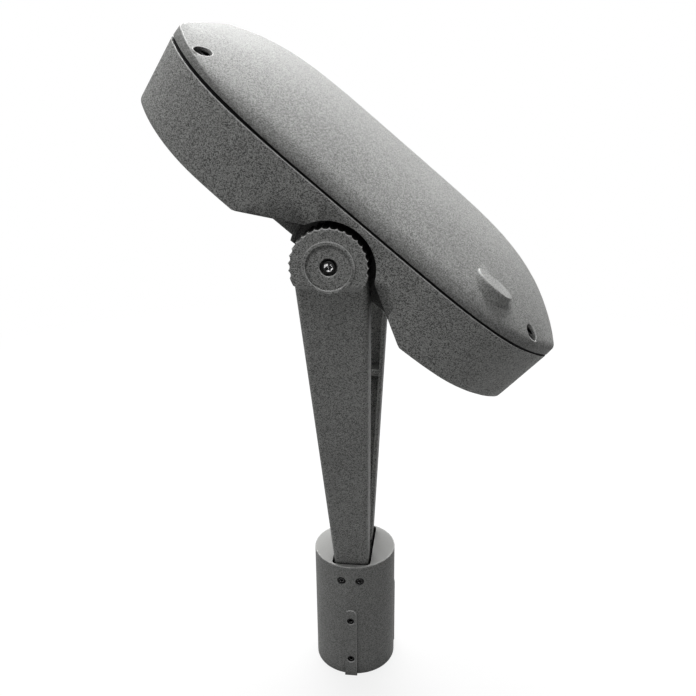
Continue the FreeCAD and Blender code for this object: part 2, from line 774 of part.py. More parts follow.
def head_cover():
    """Domed cast lid with a drafted rim, a round boss and four sunk screw seats."""
    up = V(0, 0, 1)
    taper = math.tan(math.radians(cover_draft))
    high = cover_crown_level + gasket_thickness + cover_wall

    def shell(inset, low, lowered):
        walls = outline_body([(inset + (low - rim_level) * taper, low), (inset + (high - rim_level) * taper, high)])
        return walls.common(dome_body(lowered))

    outer = shell(0.0, rim_level, 0.0)
    boss_root = rim_level + cover_wall
    boss = rod(cover_boss_radius, V(cover_boss_u, cover_boss_y, boss_root), up, cover_boss_level - boss_root)
    rim = [edge for edge in boss.Edges if abs(edge.CenterOfMass.z - cover_boss_level) < 0.01]
    outer = outer.fuse(boss.makeFillet(cover_boss_round, rim))
    body = outer.cut(shell(cover_wall, rim_level - 1, cover_wall))
    posts = []
    for place in corner_screw_places():
        post_radius = cover_screw_recess_radius + cover_post_wall
        post = rod(post_radius, place + up * rim_level, up, high - rim_level).common(outer)
        foot_radius = cover_screw_radius + screw_hole_clearance + cover_foot_wall
        foot = rod(foot_radius, place + up * seam_level, up, gasket_thickness + past)
        posts += [post, foot]
    body = body.fuse(posts)
    cutters = []
    for place in corner_screw_places():
        cutters.append(rod(cover_screw_recess_radius, place + up * cover_screw_seat_level, up, high))
        cutters.append(rod(cover_screw_radius + screw_hole_clearance, place + up * (seam_level - 1), up, high))
    return body.cut(cutters)


def cover_screws():
    """Four socket screws that draw the cover on to the housing's corner bosses."""
    up = V(0, 0, 1)
    screws = []
    for place in corner_screw_places():
        seat = place + up * cover_screw_seat_level
        head = rod(cover_screw_head_radius, seat, up, cover_screw_head_height)
        shank = rod(cover_screw_radius, seat - up * cover_screw_length, up, cover_screw_length)
        key = hexagon(cover_screw_head_radius / 2, seat + up * (cover_screw_head_height / 2), up)
        screws.append(head.fuse(shank).cut(key.extrude(up * cover_screw_head_height)))
    return screws


# Light windows, in the head's level frame

def chip_places(centre_u):
    pitch_u = (window_length - 2 * board_edge_gap) / chip_rows
    pitch_y = (window_width - 2 * board_edge_gap) / chip_columns
    return [V(centre_u + pitch_u * (row - (chip_rows - 1) / 2), pitch_y * (column - (chip_columns - 1) / 2), 0)
            for row in range(chip_rows) for column in range(chip_columns)]


def led_board(centre_u):
    half_u, half_y = window_length / 2 - board_edge_gap, window_width / 2 - board_edge_gap
    return box(centre_u - half_u, centre_u + half_u, -half_y, half_y, window_floor - board_thickness, window_floor)


def led_chips(centre_u):
    top = window_floor - board_thickness
    half = chip_size / 2
    return [box(place.x - half, place.x + half, place.y - half, place.y + half, top - chip_height, top)
            for place in chip_places(centre_u)]


def lens_gasket(centre_u):
    """Rubber frame round the board, with holes for the lens screws."""
    low = window_floor - lens_gasket_height
    half_u, half_y = window_length / 2 - lens_edge_gap, window_width / 2 - lens_edge_gap
    frame = rounded_block(half_u, half_y, low, window_floor, window_corner - lens_edge_gap, centre_u)
    inner_gap = board_edge_gap - lens_edge_gap
    half_u, half_y = window_length / 2 - inner_gap, window_width / 2 - inner_gap
    frame = frame.cut(box(centre_u - half_u, centre_u + half_u, -half_y, half_y, low - 1, window_floor + 1))
    holes = [rod(lens_screw_radius + screw_hole_clearance, place + V(0, 0, low - 1), V(0, 0, 1), lens_gasket_height + 2)
             for place in lens_screw_places(centre_u)]
    return frame.cut(holes)


def lens_plate(centre_u):
    """Clear moulded plate with one raised lens over each light source."""
    high = window_floor - lens_gasket_height
    low = high - lens_thickness
    half_u, half_y = window_length / 2 - lens_edge_gap, window_width / 2 - lens_edge_gap
    plate = rounded_block(half_u, half_y, low, high, window_corner - lens_edge_gap, centre_u)
    down = V(0, 0, -1)
    lenses = [Part.makeCone(lens_base_radius, lens_top_radius, lens_rise, V(place.x, place.y, low), down)
              for place in chip_places(centre_u)]
    plate = plate.fuse(lenses)
    holes = []
    for place in lens_screw_places(centre_u):
        holes.append(rod(lens_screw_radius + screw_hole_clearance, place + V(0, 0, low - 1), V(0, 0, 1),
                         lens_thickness + 2))
    return plate.cut(holes)


def lens_screws():
    up = V(0, 0, 1)
    seat_level = window_floor - lens_gasket_height - lens_thickness
    screws = []
    for centre_u in window_centres():
        for place in lens_screw_places(centre_u):
            seat = place + up * seat_level
            head = rod(lens_screw_head_radius, seat - up * lens_screw_head_height, up, lens_screw_head_height)
            screws.append(head.fuse(rod(lens_screw_radius, seat, up, lens_screw_length)))
    return screws


# Pieces inside the head, in its level frame

def driver_bracket():
    """Flat plate under the driver with two ears at each end."""
    half_u, half_y = driver_width / 2, driver_length / 2 + bracket_overhang
    plate = rounded_block(half_u, half_y, bracket_low, bracket_low + bracket_thickness, driver_round,
                          driver_centre_u)
    holes = [rod(small_screw_radius + screw_hole_clearance, place + V(0, 0, bracket_low - past), V(0, 0, 1),
                 bracket_thickness + 2 * past) for place in bracket_screw_places()]
    return plate.cut(holes)


def led_driver():
    """Potted driver case with a shallow groove along each long side."""
    low = bracket_low + bracket_thickness
    case = rounded_block(driver_width / 2, driver_length / 2, low, low + driver_height, driver_round,
                         driver_centre_u)
    top = [edge for edge in case.Edges if abs(edge.CenterOfMass.z - low - driver_height) < 0.01]
    case = case.makeFillet(driver_round / 2, top)
    groove = driver_height / 4
    for mirror in (1, -1):
        wall = driver_centre_u + mirror * driver_width / 2
        case = case.cut(box(wall - driver_groove_depth, wall + driver_groove_depth, -driver_length, driver_length,
                            low + groove, low + 2 * groove))
    return case


def bracket_screws():
    """Pan-head screws through the bracket's ears and the two small devices' feet."""
    up = V(0, 0, 1)
    screws = []
    for places, seat_level in ((bracket_screw_places(), bracket_low + bracket_thickness),
                               (service_boss_places(), bracket_low + bracket_thickness)):
        for place in places:
            seat = place + up * seat_level
            head = rod(small_screw_head_radius, seat, up, small_screw_head_height)
            shank_length = bracket_thickness + bracket_boss_height
            screws.append(head.fuse(rod(small_screw_radius, seat - up * shank_length, up, shank_length)))
    return screws


def footed_device(centre_y, length, width, height):
    """Small device between two screwed feet, standing on its bosses."""
    low = bracket_low
    base = rounded_block(width / 2, length / 2, low, low + bracket_thickness, device_corner, service_centre_u, centre_y)
    body = rounded_block(width / 2, length / 2 - device_foot, low, low + height, device_corner, service_centre_u,
                         centre_y)
    device = base.fuse(body)
    for mirror in (1, -1):
        place = V(service_centre_u, centre_y + mirror * (length / 2 - small_screw_head_radius), low - past)
        device = device.cut(rod(small_screw_radius + screw_hole_clearance, place, V(0, 0, 1), height))
    return device


def surge_protector():
    return footed_device(surge_centre_y, surge_length, surge_width, surge_height)


def terminal_block():
    """Terminal block with a round screw well over each way."""
    block = footed_device(terminal_centre_y, terminal_length, terminal_width, terminal_height)
    pitch = (terminal_length - 2 * device_foot) / terminal_ways
    for index in range(terminal_ways):
        y = terminal_centre_y + pitch * (index - (terminal_ways - 1) / 2)
        well = rod(pitch / 3, V(service_centre_u, y, bracket_low + terminal_height - terminal_well_depth),
                   V(0, 0, 1), 2 * terminal_well_depth)
        block = block.cut(well)
    return block


def cable_gland():
    """Gland body through the floor: hexagon flange, domed cap and clear cable bore."""
    up = V(0, 0, 1)
    centre = V(service_centre_u, 0, 0)
    flange = hexagon(gland_flat_radius, centre + up * (floor_level - gland_flange_height), up)
    body = flange.extrude(up * gland_flange_height)
    thread_length = floor_thickness + gland_nut_height + gland_thread_past_nut
    body = body.fuse(rod(gland_thread_radius, centre + up * floor_level, up, thread_length))
    cap_top = floor_level - gland_flange_height
    cap = Part.makeCone(gland_bore_radius + gland_cap_wall, gland_flat_radius - gland_nut_step, gland_cap_height,
                        centre + up * (cap_top - gland_cap_height), up)
    body = body.fuse(cap)
    low = cap_top - gland_cap_height - past
    return body.cut(rod(gland_bore_radius, centre + up * low, up, floor_level + thread_length + past - low))


def gland_nut():
    up = V(0, 0, 1)
    low = V(service_centre_u, 0, floor_top)
    nut = hexagon(gland_flat_radius - gland_nut_step, low, up).extrude(up * gland_nut_height)
    return nut.cut(rod(gland_thread_radius + thread_clearance, low - up * past, up, gland_nut_height + 2 * past))


def breather_vent():
    """Pressure vent screwed into the floor, with a slotted round head."""
    up = V(0, 0, 1)
    centre = V(vent_u, vent_y, floor_level)
    head = rod(vent_head_radius, centre - up * vent_head_height, up, vent_head_height)
    rim = [edge for edge in head.Edges if abs(edge.CenterOfMass.z - centre.z + vent_head_height) < 0.01]
    head = head.makeChamfer(vent_edge, rim)
    head = head.fuse(rod(vent_thread_radius, centre, up, floor_thickness + vent_thread_past_floor))
    core = rod(vent_thread_radius, centre - up * vent_head_height, up, vent_head_height)
    for turn in (0, full_turn / 4):
        groove = box(-vent_head_radius, vent_head_radius, -vent_slot_width / 2, vent_slot_width / 2,
                     -vent_slot_bottom, -vent_slot_top)
        groove.rotate(V(0, 0, 0), up, turn)
        groove.translate(centre)
        head = head.cut(groove.cut(core))
    return head


def build():
    os.makedirs("parts", exist_ok=True)
    upper_u, lower_u = window_centres()
    save("pole_collar", [pole_collar()])
    save("set_screws", set_screws())
    save("wire_grommet", [wire_grommet()])
    save("arm_screws", arm_screws())
    rear, front = both_sides(arm())
    save("front_arm", [front])
    save("rear_arm", [rear])
    rear_screw, front_screw = both_sides(pivot_screw())
    save("front_pivot_screw", [in_place(front_screw)])
    save("rear_pivot_screw", [in_place(rear_screw)])
    rear_washer, front_washer = both_sides(pivot_washer())
    save("front_pivot_washer", [in_place(front_washer)])
    save("rear_pivot_washer", [in_place(rear_washer)])
    save("head_housing", [in_place(head_housing())])
    save("cover_gasket", [in_place(cover_gasket())])
    save("head_cover", [in_place(head_cover())])
    save("cover_screws", [in_place(screw) for screw in cover_screws()])
    for name, centre_u in (("upper", upper_u), ("lower", lower_u)):
        save(f"{name}_led_board", [in_place(led_board(centre_u))])
        save(f"{name}_led_chips", [in_place(chip) for chip in led_chips(centre_u)])
        save(f"{name}_lens_gasket", [in_place(lens_gasket(centre_u))])
        save(f"{name}_lens_plate", [in_place(lens_plate(centre_u))])
    save("lens_screws", [in_place(screw) for screw in lens_screws()])
    save("driver_bracket", [in_place(driver_bracket())])
    save("led_driver", [in_place(led_driver())])
    save("bracket_screws", [in_place(screw) for screw in bracket_screws()])
    save("surge_protector", [in_place(surge_protector())])
    save("terminal_block", [in_place(terminal_block())])
    save("cable_gland", [in_place(cable_gland())])
    save("gland_nut", [in_place(gland_nut())])
    save("breather_vent", [in_place(breather_vent())])


build()
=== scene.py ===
import json
import math

import bmesh
import bpy
from mathutils import Matrix, Vector


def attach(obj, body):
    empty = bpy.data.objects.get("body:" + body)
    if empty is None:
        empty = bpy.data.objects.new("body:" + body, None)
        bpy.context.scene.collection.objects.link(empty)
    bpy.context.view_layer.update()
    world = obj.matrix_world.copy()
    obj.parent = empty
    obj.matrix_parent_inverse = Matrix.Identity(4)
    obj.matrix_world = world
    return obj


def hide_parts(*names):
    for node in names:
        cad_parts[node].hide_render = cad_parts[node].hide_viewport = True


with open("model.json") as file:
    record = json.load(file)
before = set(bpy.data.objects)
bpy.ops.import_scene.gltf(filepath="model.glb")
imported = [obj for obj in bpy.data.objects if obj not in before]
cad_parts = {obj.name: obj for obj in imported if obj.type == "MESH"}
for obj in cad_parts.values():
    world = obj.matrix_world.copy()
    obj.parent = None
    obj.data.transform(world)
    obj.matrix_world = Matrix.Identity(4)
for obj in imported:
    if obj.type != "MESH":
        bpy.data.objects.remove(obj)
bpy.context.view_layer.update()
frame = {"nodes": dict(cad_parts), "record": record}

# Street light head on a two-arm fork. Outlines and profiles are in millimetres, in the head's own level
# frame with the tilt axis at its origin, or in a part's own frame. Finished meshes are in metres.
MM = 1000.0
FULL_TURN = 2 * math.pi
QUARTER_TURN = math.pi / 2

# Camera, from the fit of the collar, arms and head to the photograph
CAMERA_PLACE = (0.0958979, -0.7932895, 0.6759843)
CAMERA_PITCH = 0.353
CAMERA_YAW = 0.1148
CAMERA_ROLL = -0.0069
CAMERA_LENS = 42.99
CAMERA_SENSOR = 36.0
CAMERA_SHIFT = (-0.01366, -0.00566)
CAMERA_CLIP = (0.05, 50.0)

# Round lights: name, place and width in metres, power in watts
LIGHTS = (
    ("key", (-0.15, 1.4, 2.5), 2.8, 132.0),
    ("fill", (-2.3, -0.7, 1.4), 1.4, 6.0),
    ("top", (-0.3, -1.5, 2.6), 1.0, 17.0))
LIGHT_TARGET = (0.0, 0.0, 0.45)
WORLD_LEVEL = 0.14
WHITE = (1.0, 1.0, 1.0)

# Ground, in metres: its shadow fades into the white backdrop between the two distances
FLOOR_HALF = 12.0
FLOOR_COLOUR = (0.86, 0.86, 0.86)
FLOOR_BOUNCE = (0.25, 0.25, 0.25)
FLOOR_ROUGHNESS = 0.9
FLOOR_GLOSS = 0.1
FLOOR_GLOW = 0.82
FLOOR_FADE = (0.35, 1.4)

# Head outline: a side curve of one power, a corner's arc and a straight end
HEAD_TILT = math.radians(40.0)
PIVOT_HEIGHT = 505.0
HALF_LENGTH = 209.0
HALF_WIDTH = 166.0
HALF_END = 91.0
SIDE_POWER = 4.8
CORNER_RADIUS = 27.0
CENTRE_U = -7.4
SEAM_LEVEL = 44.5
FLOOR_LEVEL = -17.0
SIDE_DRAFT = math.tan(math.radians(10.2))
END_DRAFT = math.tan(math.radians(6.6))
SIDE_STEPS = 56
CORNER_STEPS = 10
END_STEPS = 8
HALVINGS = 50

# Lid: its dome, its soft shoulder along the sides and its crisp crease round the ends
LID_LOW = 46.4
LID_RAISED_END = 0.8
LID_GAP_SPAN = (0.3, 0.65)
LID_WALL = 3.2
LID_END = 59.5
LID_CROWN = 85.9
LID_SIDE = 60.2
LID_LENGTH_POWER = 4.6
LID_SIDE_POWER = 2.0
LID_WIDTH_POWER = 2.5
LID_FALL = 7.3
LID_FALL_POWER = 3.5
LID_END_RELIEF = 5.1
LID_RELIEF_POWER = 5.1
LID_SHOULDER_DEPTH = 4.0
LID_SHOULDER_REACH = 16.0
LID_SHOULDER_POWER = 2.2
LID_SOFT_SPAN = (0.9, 0.45)
LID_CREASE_DEPTH = 1.1
LID_CREASE_REACH = 1.6
LID_CREASE_CRISP = 0.25
LID_LOW_END_SOFT = 3.4
LID_WALL_SHARES = (0.0, 0.35, 0.7, 1.0)
LID_INSETS = (0.1, 0.25, 0.5, 0.8, 1.2, 1.6, 2.2, 3.0, 4.0, 5.2, 6.6, 8.2, 10.0, 12.0, 14.5, 17.0, 20.0, 23.0)
LID_CROWN_STEPS = 15
LID_EDGE_EASE = 0.35
LID_EDGE_PULL = 0.9985
CORNER_LEAST = 1.0

# Lid's boss, screw posts and screw seats
BOSS_PLACE = (114.6, -127.0)
BOSS_RADIUS = 18.5
BOSS_TOP = 71.4
BOSS_ROUND = 1.3
BOSS_STEPS = 96
RIM_STEPS = 6
SCREW_END_GAP = 34.6
SCREW_SIDE_GAP = 12.3
SCREW_SEAT = 51.5
SCREW_HOLE = 2.8
RECESS_RADIUS = 7.1
POST_RADIUS = 8.6
POST_TOP = 56.0
POST_STEPS = 64

# Skirt's lower edge, its straighter end wall and the shield behind each tilt disc
SKIRT_ROUND = 2.2
SKIRT_END_ROUND = 6.5
SKIRT_GROWTH_SPAN = (0.55, 0.9)
SKIRT_ROUND_STEPS = 8
SKIRT_CLEAR_SIDE = 0.004
SKIRT_CLEAR_FLOOR = 0.003
ENVELOPE_SIDES = ((-0.5, 40.0), (-1.0, SEAM_LEVEL - FLOOR_LEVEL + 1.0))
PROBE_INSET = 5.0
STRAIGHTER_END = 0.055
END_WALL_SPAN = (182.0, 192.0)
SHIELD_INNER = 25.9
SHIELD_OUTER = 40.4
SHIELD_FROM = 97.0
SHIELD_TO = 113.5
SHIELD_STEPS = 96

# Screws: head, shank and key recess
COVER_SCREW = dict(head_radius=4.6, head_height=3.2, radius=2.5, length=25.0, key_radius=2.6, key_depth=2.0)
SET_SCREW = dict(head_radius=4.0, head_height=0.0, radius=4.0, length=6.0, key_radius=2.3, key_depth=3.0)
ARM_SCREW = dict(head_radius=4.2, head_height=1.8, radius=2.5, length=16.0, key_radius=2.3, key_depth=1.2)
LENS_SCREW = dict(head_radius=2.8, head_height=1.6, radius=1.5, length=7.0, key_radius=1.5, key_depth=1.0,
                  lobes=6)
PIVOT_SCREW = dict(head_radius=5.25, head_height=3.8, radius=3.0, length=50.0, key_radius=3.3, key_depth=2.4,
                   lobes=6, pin=0.8, crown=0.9)
SCREW_CROWN = 0.35
SCREW_CROWN_STEPS = 4
SCREW_STEPS = 48
SCREW_TIP = 0.5
SCREW_TIP_SHARE = 0.75
SCREW_RIM = 0.2
PIN_SUNK = 0.3
PIN_TIP_SHARE = 0.7
PIN_STEPS = 24
KEY_CLEAR = 1.0
KEY_SIDES = 6
KEY_STEPS = 72
KEY_MEAN = 0.86
KEY_LOBE = 0.14

# Where the screws sit
SET_SCREW_HEADINGS = (-QUARTER_TURN, math.pi / 6, math.pi * 5 / 6)
SET_SCREW_LEVELS = (22.6, 73.5)
SET_SCREW_REACH = 45.3
ARM_SCREW_LEVEL = 123.5
ARM_SCREW_REACH = 40.3
ARM_SCREW_SPREAD = 9.9
LENS_SCREW_ROWS = (-192.4, -114.4, 99.6, 177.6)
LENS_SCREW_COLUMNS = (-86.2, -28.735, 28.735, 86.2)
PIVOT_SCREW_REACH = 155.5
PIVOT_SCREW_SPIN = 0.5
SPIN_SEED = 3

# Light windows in the underside, and their chips and lenses
WINDOW_MIDDLES = (("upper", -153.4), ("lower", 138.6))
LENS_ROWS = (-1, 0, 1)
LENS_COLUMNS = range(-3, 4)
LENS_ROW_PITCH = 24.0
LENS_COLUMN_PITCH = 25.43
LENS_FACE = -16.7
BOARD_FACE = -12.6
LENS_RADIUS = 8.5
LENS_RISE = 3.4
LENS_SUNK = 0.4
LENS_FULLNESS = 0.8
LENS_CROWN_STEPS = 12
LENS_STEPS = 48
SLAB_HALF_LENGTH = 60.0
SLAB_HALF_WIDTH = 110.0
SLAB_TOP = -8.0
SQUARE = ((-1, -1), (1, -1), (1, 1), (-1, 1))
CHIP_HALF = 1.75
CHIP_RISE = 0.5
CHIP_EDGE = 0.1
CHIP_WINDOW = 1.35
CHIP_CROWN = 0.3
CHIP_CROWN_STEPS = 6
CHIP_STEPS = 32

# How a casting's copy is joined and shaded
MERGE_DISTANCE = 2e-6
FLAT_ANGLE = math.radians(0.15)
SHARP_ANGLE = math.radians(28.0)

# Relief, edges and hollows of every finish
RELIEF_STRENGTH = 0.5
EDGE_SAMPLES = 4
HOLLOW_SAMPLES = 6

# Powder coat of the castings; its heights, rounds and reaches are in metres
PAINT = (0.262, 0.264, 0.257)
# One grey coat: the collar's darker copy is painted shade, the cover's lighter copy is painted light
COLLAR_PAINT_PAINTED_DARKER = (0.24, 0.242, 0.236)
COVER_PAINT_PAINTED_LIGHTER = (0.285, 0.287, 0.28)
# Lighter tone for upward faces of the collar: painted top light
TOP_LIGHT_TONE = (0.42, 0.42, 0.41)
# Light edge colour: patches of wear, and a painted highlight on edges that face the painted light's side
WORN_AND_HIGHLIT_EDGE = (0.8, 0.8, 0.79)
# Share of the coat's colour used for painted shade in hollows, under edges and over the seam
PAINTED_SHADE_TONE = 0.08
COAT_ROUGHNESS = 0.62
COAT_CHANGES = (-0.06, 0.1)
COAT_GLOSS = 0.22
GRAIN_SCALE = 1550.0
COARSE_SCALE = GRAIN_SCALE * 0.45
COARSE_SHARE = 0.06
CLOUD_SCALE = 9.0
CLOUD_SHARE = 0.12
WEAR_SCALE = 160.0
WEAR_LEAST = 0.55
# Metal on worn, painted-highlight edges, so that they mirror the white backdrop as a painted reflection
BARE_AND_HIGHLIT_SHARE = 0.55
TOP_LIGHT_SHARE = 0.85
# Painted shade on edges that face away from the painted light's side
EDGE_SHADE_SHARE = 0.75
GRAIN_HEIGHT = 0.0002
EDGE_ROUND = 0.0009
EDGE_REACH = 0.0018
CREST_REACH = 0.004
UPWARD = (0.0, 0.0, 1.0)
# Direction of the painted light on edges: edges facing it get a painted highlight, edges facing away painted
# shade
PAINTED_LIGHT_SIDE = (0.15, -0.35, 0.92)

# Bands of a measured value over which a share changes; a reach in metres comes before its band
NOISE_BAND = (0.3, 0.7)
GRAIN_BAND = (0.05, 0.95)
EDGE_BAND = (0.004, 0.08)
CREST_BAND = (0.8, 0.95)
PAINTED_HIGHLIGHT_BAND = (0.2, 0.7)
BARE_AND_HIGHLIT_BAND = (0.1, 0.8)
EDGE_SHADE_BAND = (-0.6, -0.05)
LEVEL_BAND = (0.9, 0.98)
SEAM_BAND = (0.049, 0.06)
# Reaches and bands of painted shade in hollows
OPEN_HOLLOW_SHADE = (0.03, (0.2, 0.6))
SKIRT_HOLLOW_SHADE = (0.045, (0.35, 0.85))

# Steel, plastic and clear parts
STEEL_GRAIN = 900.0
STEEL_STRETCH = (1.0, 1.0, 0.2)
STEEL_STAIN = 220.0
STEEL_STAIN_TONE = 0.7
# Painted shade in steel hollows, and painted highlights on steel edges
STEEL_SHADE_TONE = 0.1
STEEL_CHANGES = (-0.08, 0.1)
STEEL_EDGE_HIGHLIGHT = (0.0004, (0.03, 0.25))
STEEL_HOLLOW_SHADE = (0.008, (0.3, 0.8))
STEEL_ROUND = 0.0003
# Painted glints: bright spots in the pivot screws' key recess
GLINT_SCALE = 620.0
GLINT_BAND = (0.56, 0.62)
GLINT_REACH = (0.0032, 0.0038)
SKIN_SCALE = 700.0
SKIN_CHANGES = (-0.06, 0.06)
TONE_SCALE = 40.0
FINE_HEIGHT = 0.00003
CLEAR_COLOUR = (0.93, 0.96, 0.97)
CLEAR_ROUGHNESS = 0.06
CLEAR_SHARE = 0.9
CLEAR_INDEX = 1.58
FLOW_SCALE = 60.0
FLOW_HEIGHT = 0.00008
FLOW_STRENGTH = 0.3


def fed(material, socket, value):
    """Links a socket to another one, or gives it a plain value; a plain colour gets its fourth channel."""
    if isinstance(value, bpy.types.NodeSocket):
        material.node_tree.links.new(value, socket)
    elif socket.type == "RGBA":
        socket.default_value = (*value, 1.0)
    else:
        socket.default_value = value


def new_material(name, base, roughness, metallic=0.0):
    """A Principled material with its constant values on the shader's own sockets."""
    material = bpy.data.materials.new(name)
    material.use_nodes = True
    shader = material.node_tree.nodes["Principled BSDF"]
    shader.inputs["Base Color"].default_value = (*base, 1.0)
    shader.inputs["Roughness"].default_value = roughness
    shader.inputs["Metallic"].default_value = metallic
    return material, shader


def scaled(colour, share):
    """A colour made darker or lighter by a share."""
    return tuple(channel * share for channel in colour)


def piece_place(material):
    """A point's own coordinates on its piece."""
    return material.node_tree.nodes.new("ShaderNodeTexCoord").outputs["Object"]


def object_noise(material, scale, detail=2.0, stretch=(1.0, 1.0, 1.0)):
    """Noise that stays fixed to the piece."""
    nodes = material.node_tree.nodes
    mapping = nodes.new("ShaderNodeMapping")
    fed(material, mapping.inputs["Scale"], stretch)
    fed(material, mapping.inputs["Vector"], piece_place(material))
    noise = nodes.new("ShaderNodeTexNoise")
    fed(material, noise.inputs["Scale"], scale)
    fed(material, noise.inputs["Detail"], detail)
    fed(material, noise.inputs["Vector"], mapping.outputs["Vector"])
    return noise.outputs["Fac"]


def grains(material, scale):
    """Small cells fixed to the piece: each cell's own random value, and the height of its dome."""
    nodes = material.node_tree.nodes
    cells = nodes.new("ShaderNodeTexVoronoi")
    fed(material, cells.inputs["Scale"], scale)
    fed(material, cells.inputs["Vector"], piece_place(material))
    split = nodes.new("ShaderNodeSeparateColor")
    fed(material, split.inputs["Color"], cells.outputs["Color"])
    return split.outputs["Red"], cells.outputs["Distance"]


def maths(material, operation, *values):
    """A sum on values, each a socket or a plain number."""
    node = material.node_tree.nodes.new("ShaderNodeMath")
    node.operation = operation
    for socket, value in zip(node.inputs, values):
        fed(material, socket, value)
    return node.outputs["Value"]


def vector_maths(material, operation, result, *values):
    """A sum on directions or points, each a socket or three plain numbers."""
    node = material.node_tree.nodes.new("ShaderNodeVectorMath")
    node.operation = operation
    for socket, value in zip(node.inputs, values):
        fed(material, socket, value)
    return node.outputs[result]


def times(material, first, second):
    """The product of two values."""
    return maths(material, "MULTIPLY", first, second)


def dotted(material, first, second):
    """How far two directions agree, from minus one to one."""
    return vector_maths(material, "DOT_PRODUCT", "Value", first, second)


def spread(material, value, low, high, band=NOISE_BAND):
    """Maps a band of a value to the range from low to high, and holds it there outside the band."""
    node = material.node_tree.nodes.new("ShaderNodeMapRange")
    for socket, number in (("From Min", band[0]), ("From Max", band[1]), ("To Min", low), ("To Max", high)):
        node.inputs[socket].default_value = number
    fed(material, node.inputs["Value"], value)
    return node.outputs["Result"]


def centred(material, noise):
    """Noise that runs from minus a half to a half."""
    return spread(material, noise, -0.5, 0.5)


def varied(material, noise, roughness, changes):
    """A roughness that noise moves by the lower to the higher of two changes."""
    return spread(material, noise, roughness + changes[0], roughness + changes[1])


def mixed(material, factor, first, second):
    """Mixes two colours, each a socket or a plain colour, by a factor."""
    node = material.node_tree.nodes.new("ShaderNodeMix")
    node.data_type = "RGBA"
    fed(material, node.inputs["Factor"], factor)
    fed(material, node.inputs["A"], first)
    fed(material, node.inputs["B"], second)
    return node.outputs["Result"]


def rounded_normal(material, radius):
    """The normal that runs round the sharp edges near a point."""
    node = material.node_tree.nodes.new("ShaderNodeBevel")
    node.samples = EDGE_SAMPLES
    fed(material, node.inputs["Radius"], radius)
    return node.outputs["Normal"]


def bumped(material, shader, height, distance, under=None, strength=RELIEF_STRENGTH):
    """Gives the shader a fine relief, over another normal where one is given."""
    node = material.node_tree.nodes.new("ShaderNodeBump")
    fed(material, node.inputs["Distance"], distance)
    fed(material, node.inputs["Strength"], strength)
    fed(material, node.inputs["Height"], height)
    if under is not None:
        fed(material, node.inputs["Normal"], under)
    fed(material, shader.inputs["Normal"], node.outputs["Normal"])


def edge_share(material, radius, band):
    """How near a point lies to an edge, from nought to one, and the normal that runs round that edge."""
    surface = material.node_tree.nodes.new("ShaderNodeNewGeometry")
    normal = rounded_normal(material, radius)
    flatness = dotted(material, normal, surface.outputs["Normal"])
    return spread(material, flatness, 1.0, 0.0, (1.0 - band[1], 1.0 - band[0])), normal


def open_share(material, reach, band):
    """Nought deep in a hollow and one out in the open."""
    node = material.node_tree.nodes.new("ShaderNodeAmbientOcclusion")
    node.samples = HOLLOW_SAMPLES
    fed(material, node.inputs["Distance"], reach)
    return spread(material, node.outputs["AO"], 0.0, 1.0, band)


def head_level(material):
    """Height over the tilt axis, square to the head's own plane, in metres."""
    head_up = (math.sin(HEAD_TILT), 0.0, math.cos(HEAD_TILT))
    height = dotted(material, piece_place(material), head_up)
    return maths(material, "SUBTRACT", height, PIVOT_HEIGHT / MM * math.cos(HEAD_TILT))


def speckle(material, base, flecks):
    """The coat's colour, of grains, specks and wide faint clouds, then its specks and its grains' domes."""
    grain, dome = grains(material, GRAIN_SCALE)
    coarse = object_noise(material, COARSE_SCALE, detail=1.0)
    cloud = object_noise(material, CLOUD_SCALE, detail=3.0)
    fine = spread(material, grain, 0.0, 1.0, GRAIN_BAND)
    mottle = maths(material, "MULTIPLY_ADD", centred(material, coarse), COARSE_SHARE, fine)
    factor = maths(material, "MULTIPLY_ADD", centred(material, cloud), CLOUD_SHARE, mottle)
    colour = mixed(material, factor, scaled(base, 1.0 - flecks), scaled(base, 1.0 + flecks))
    return colour, coarse, dome


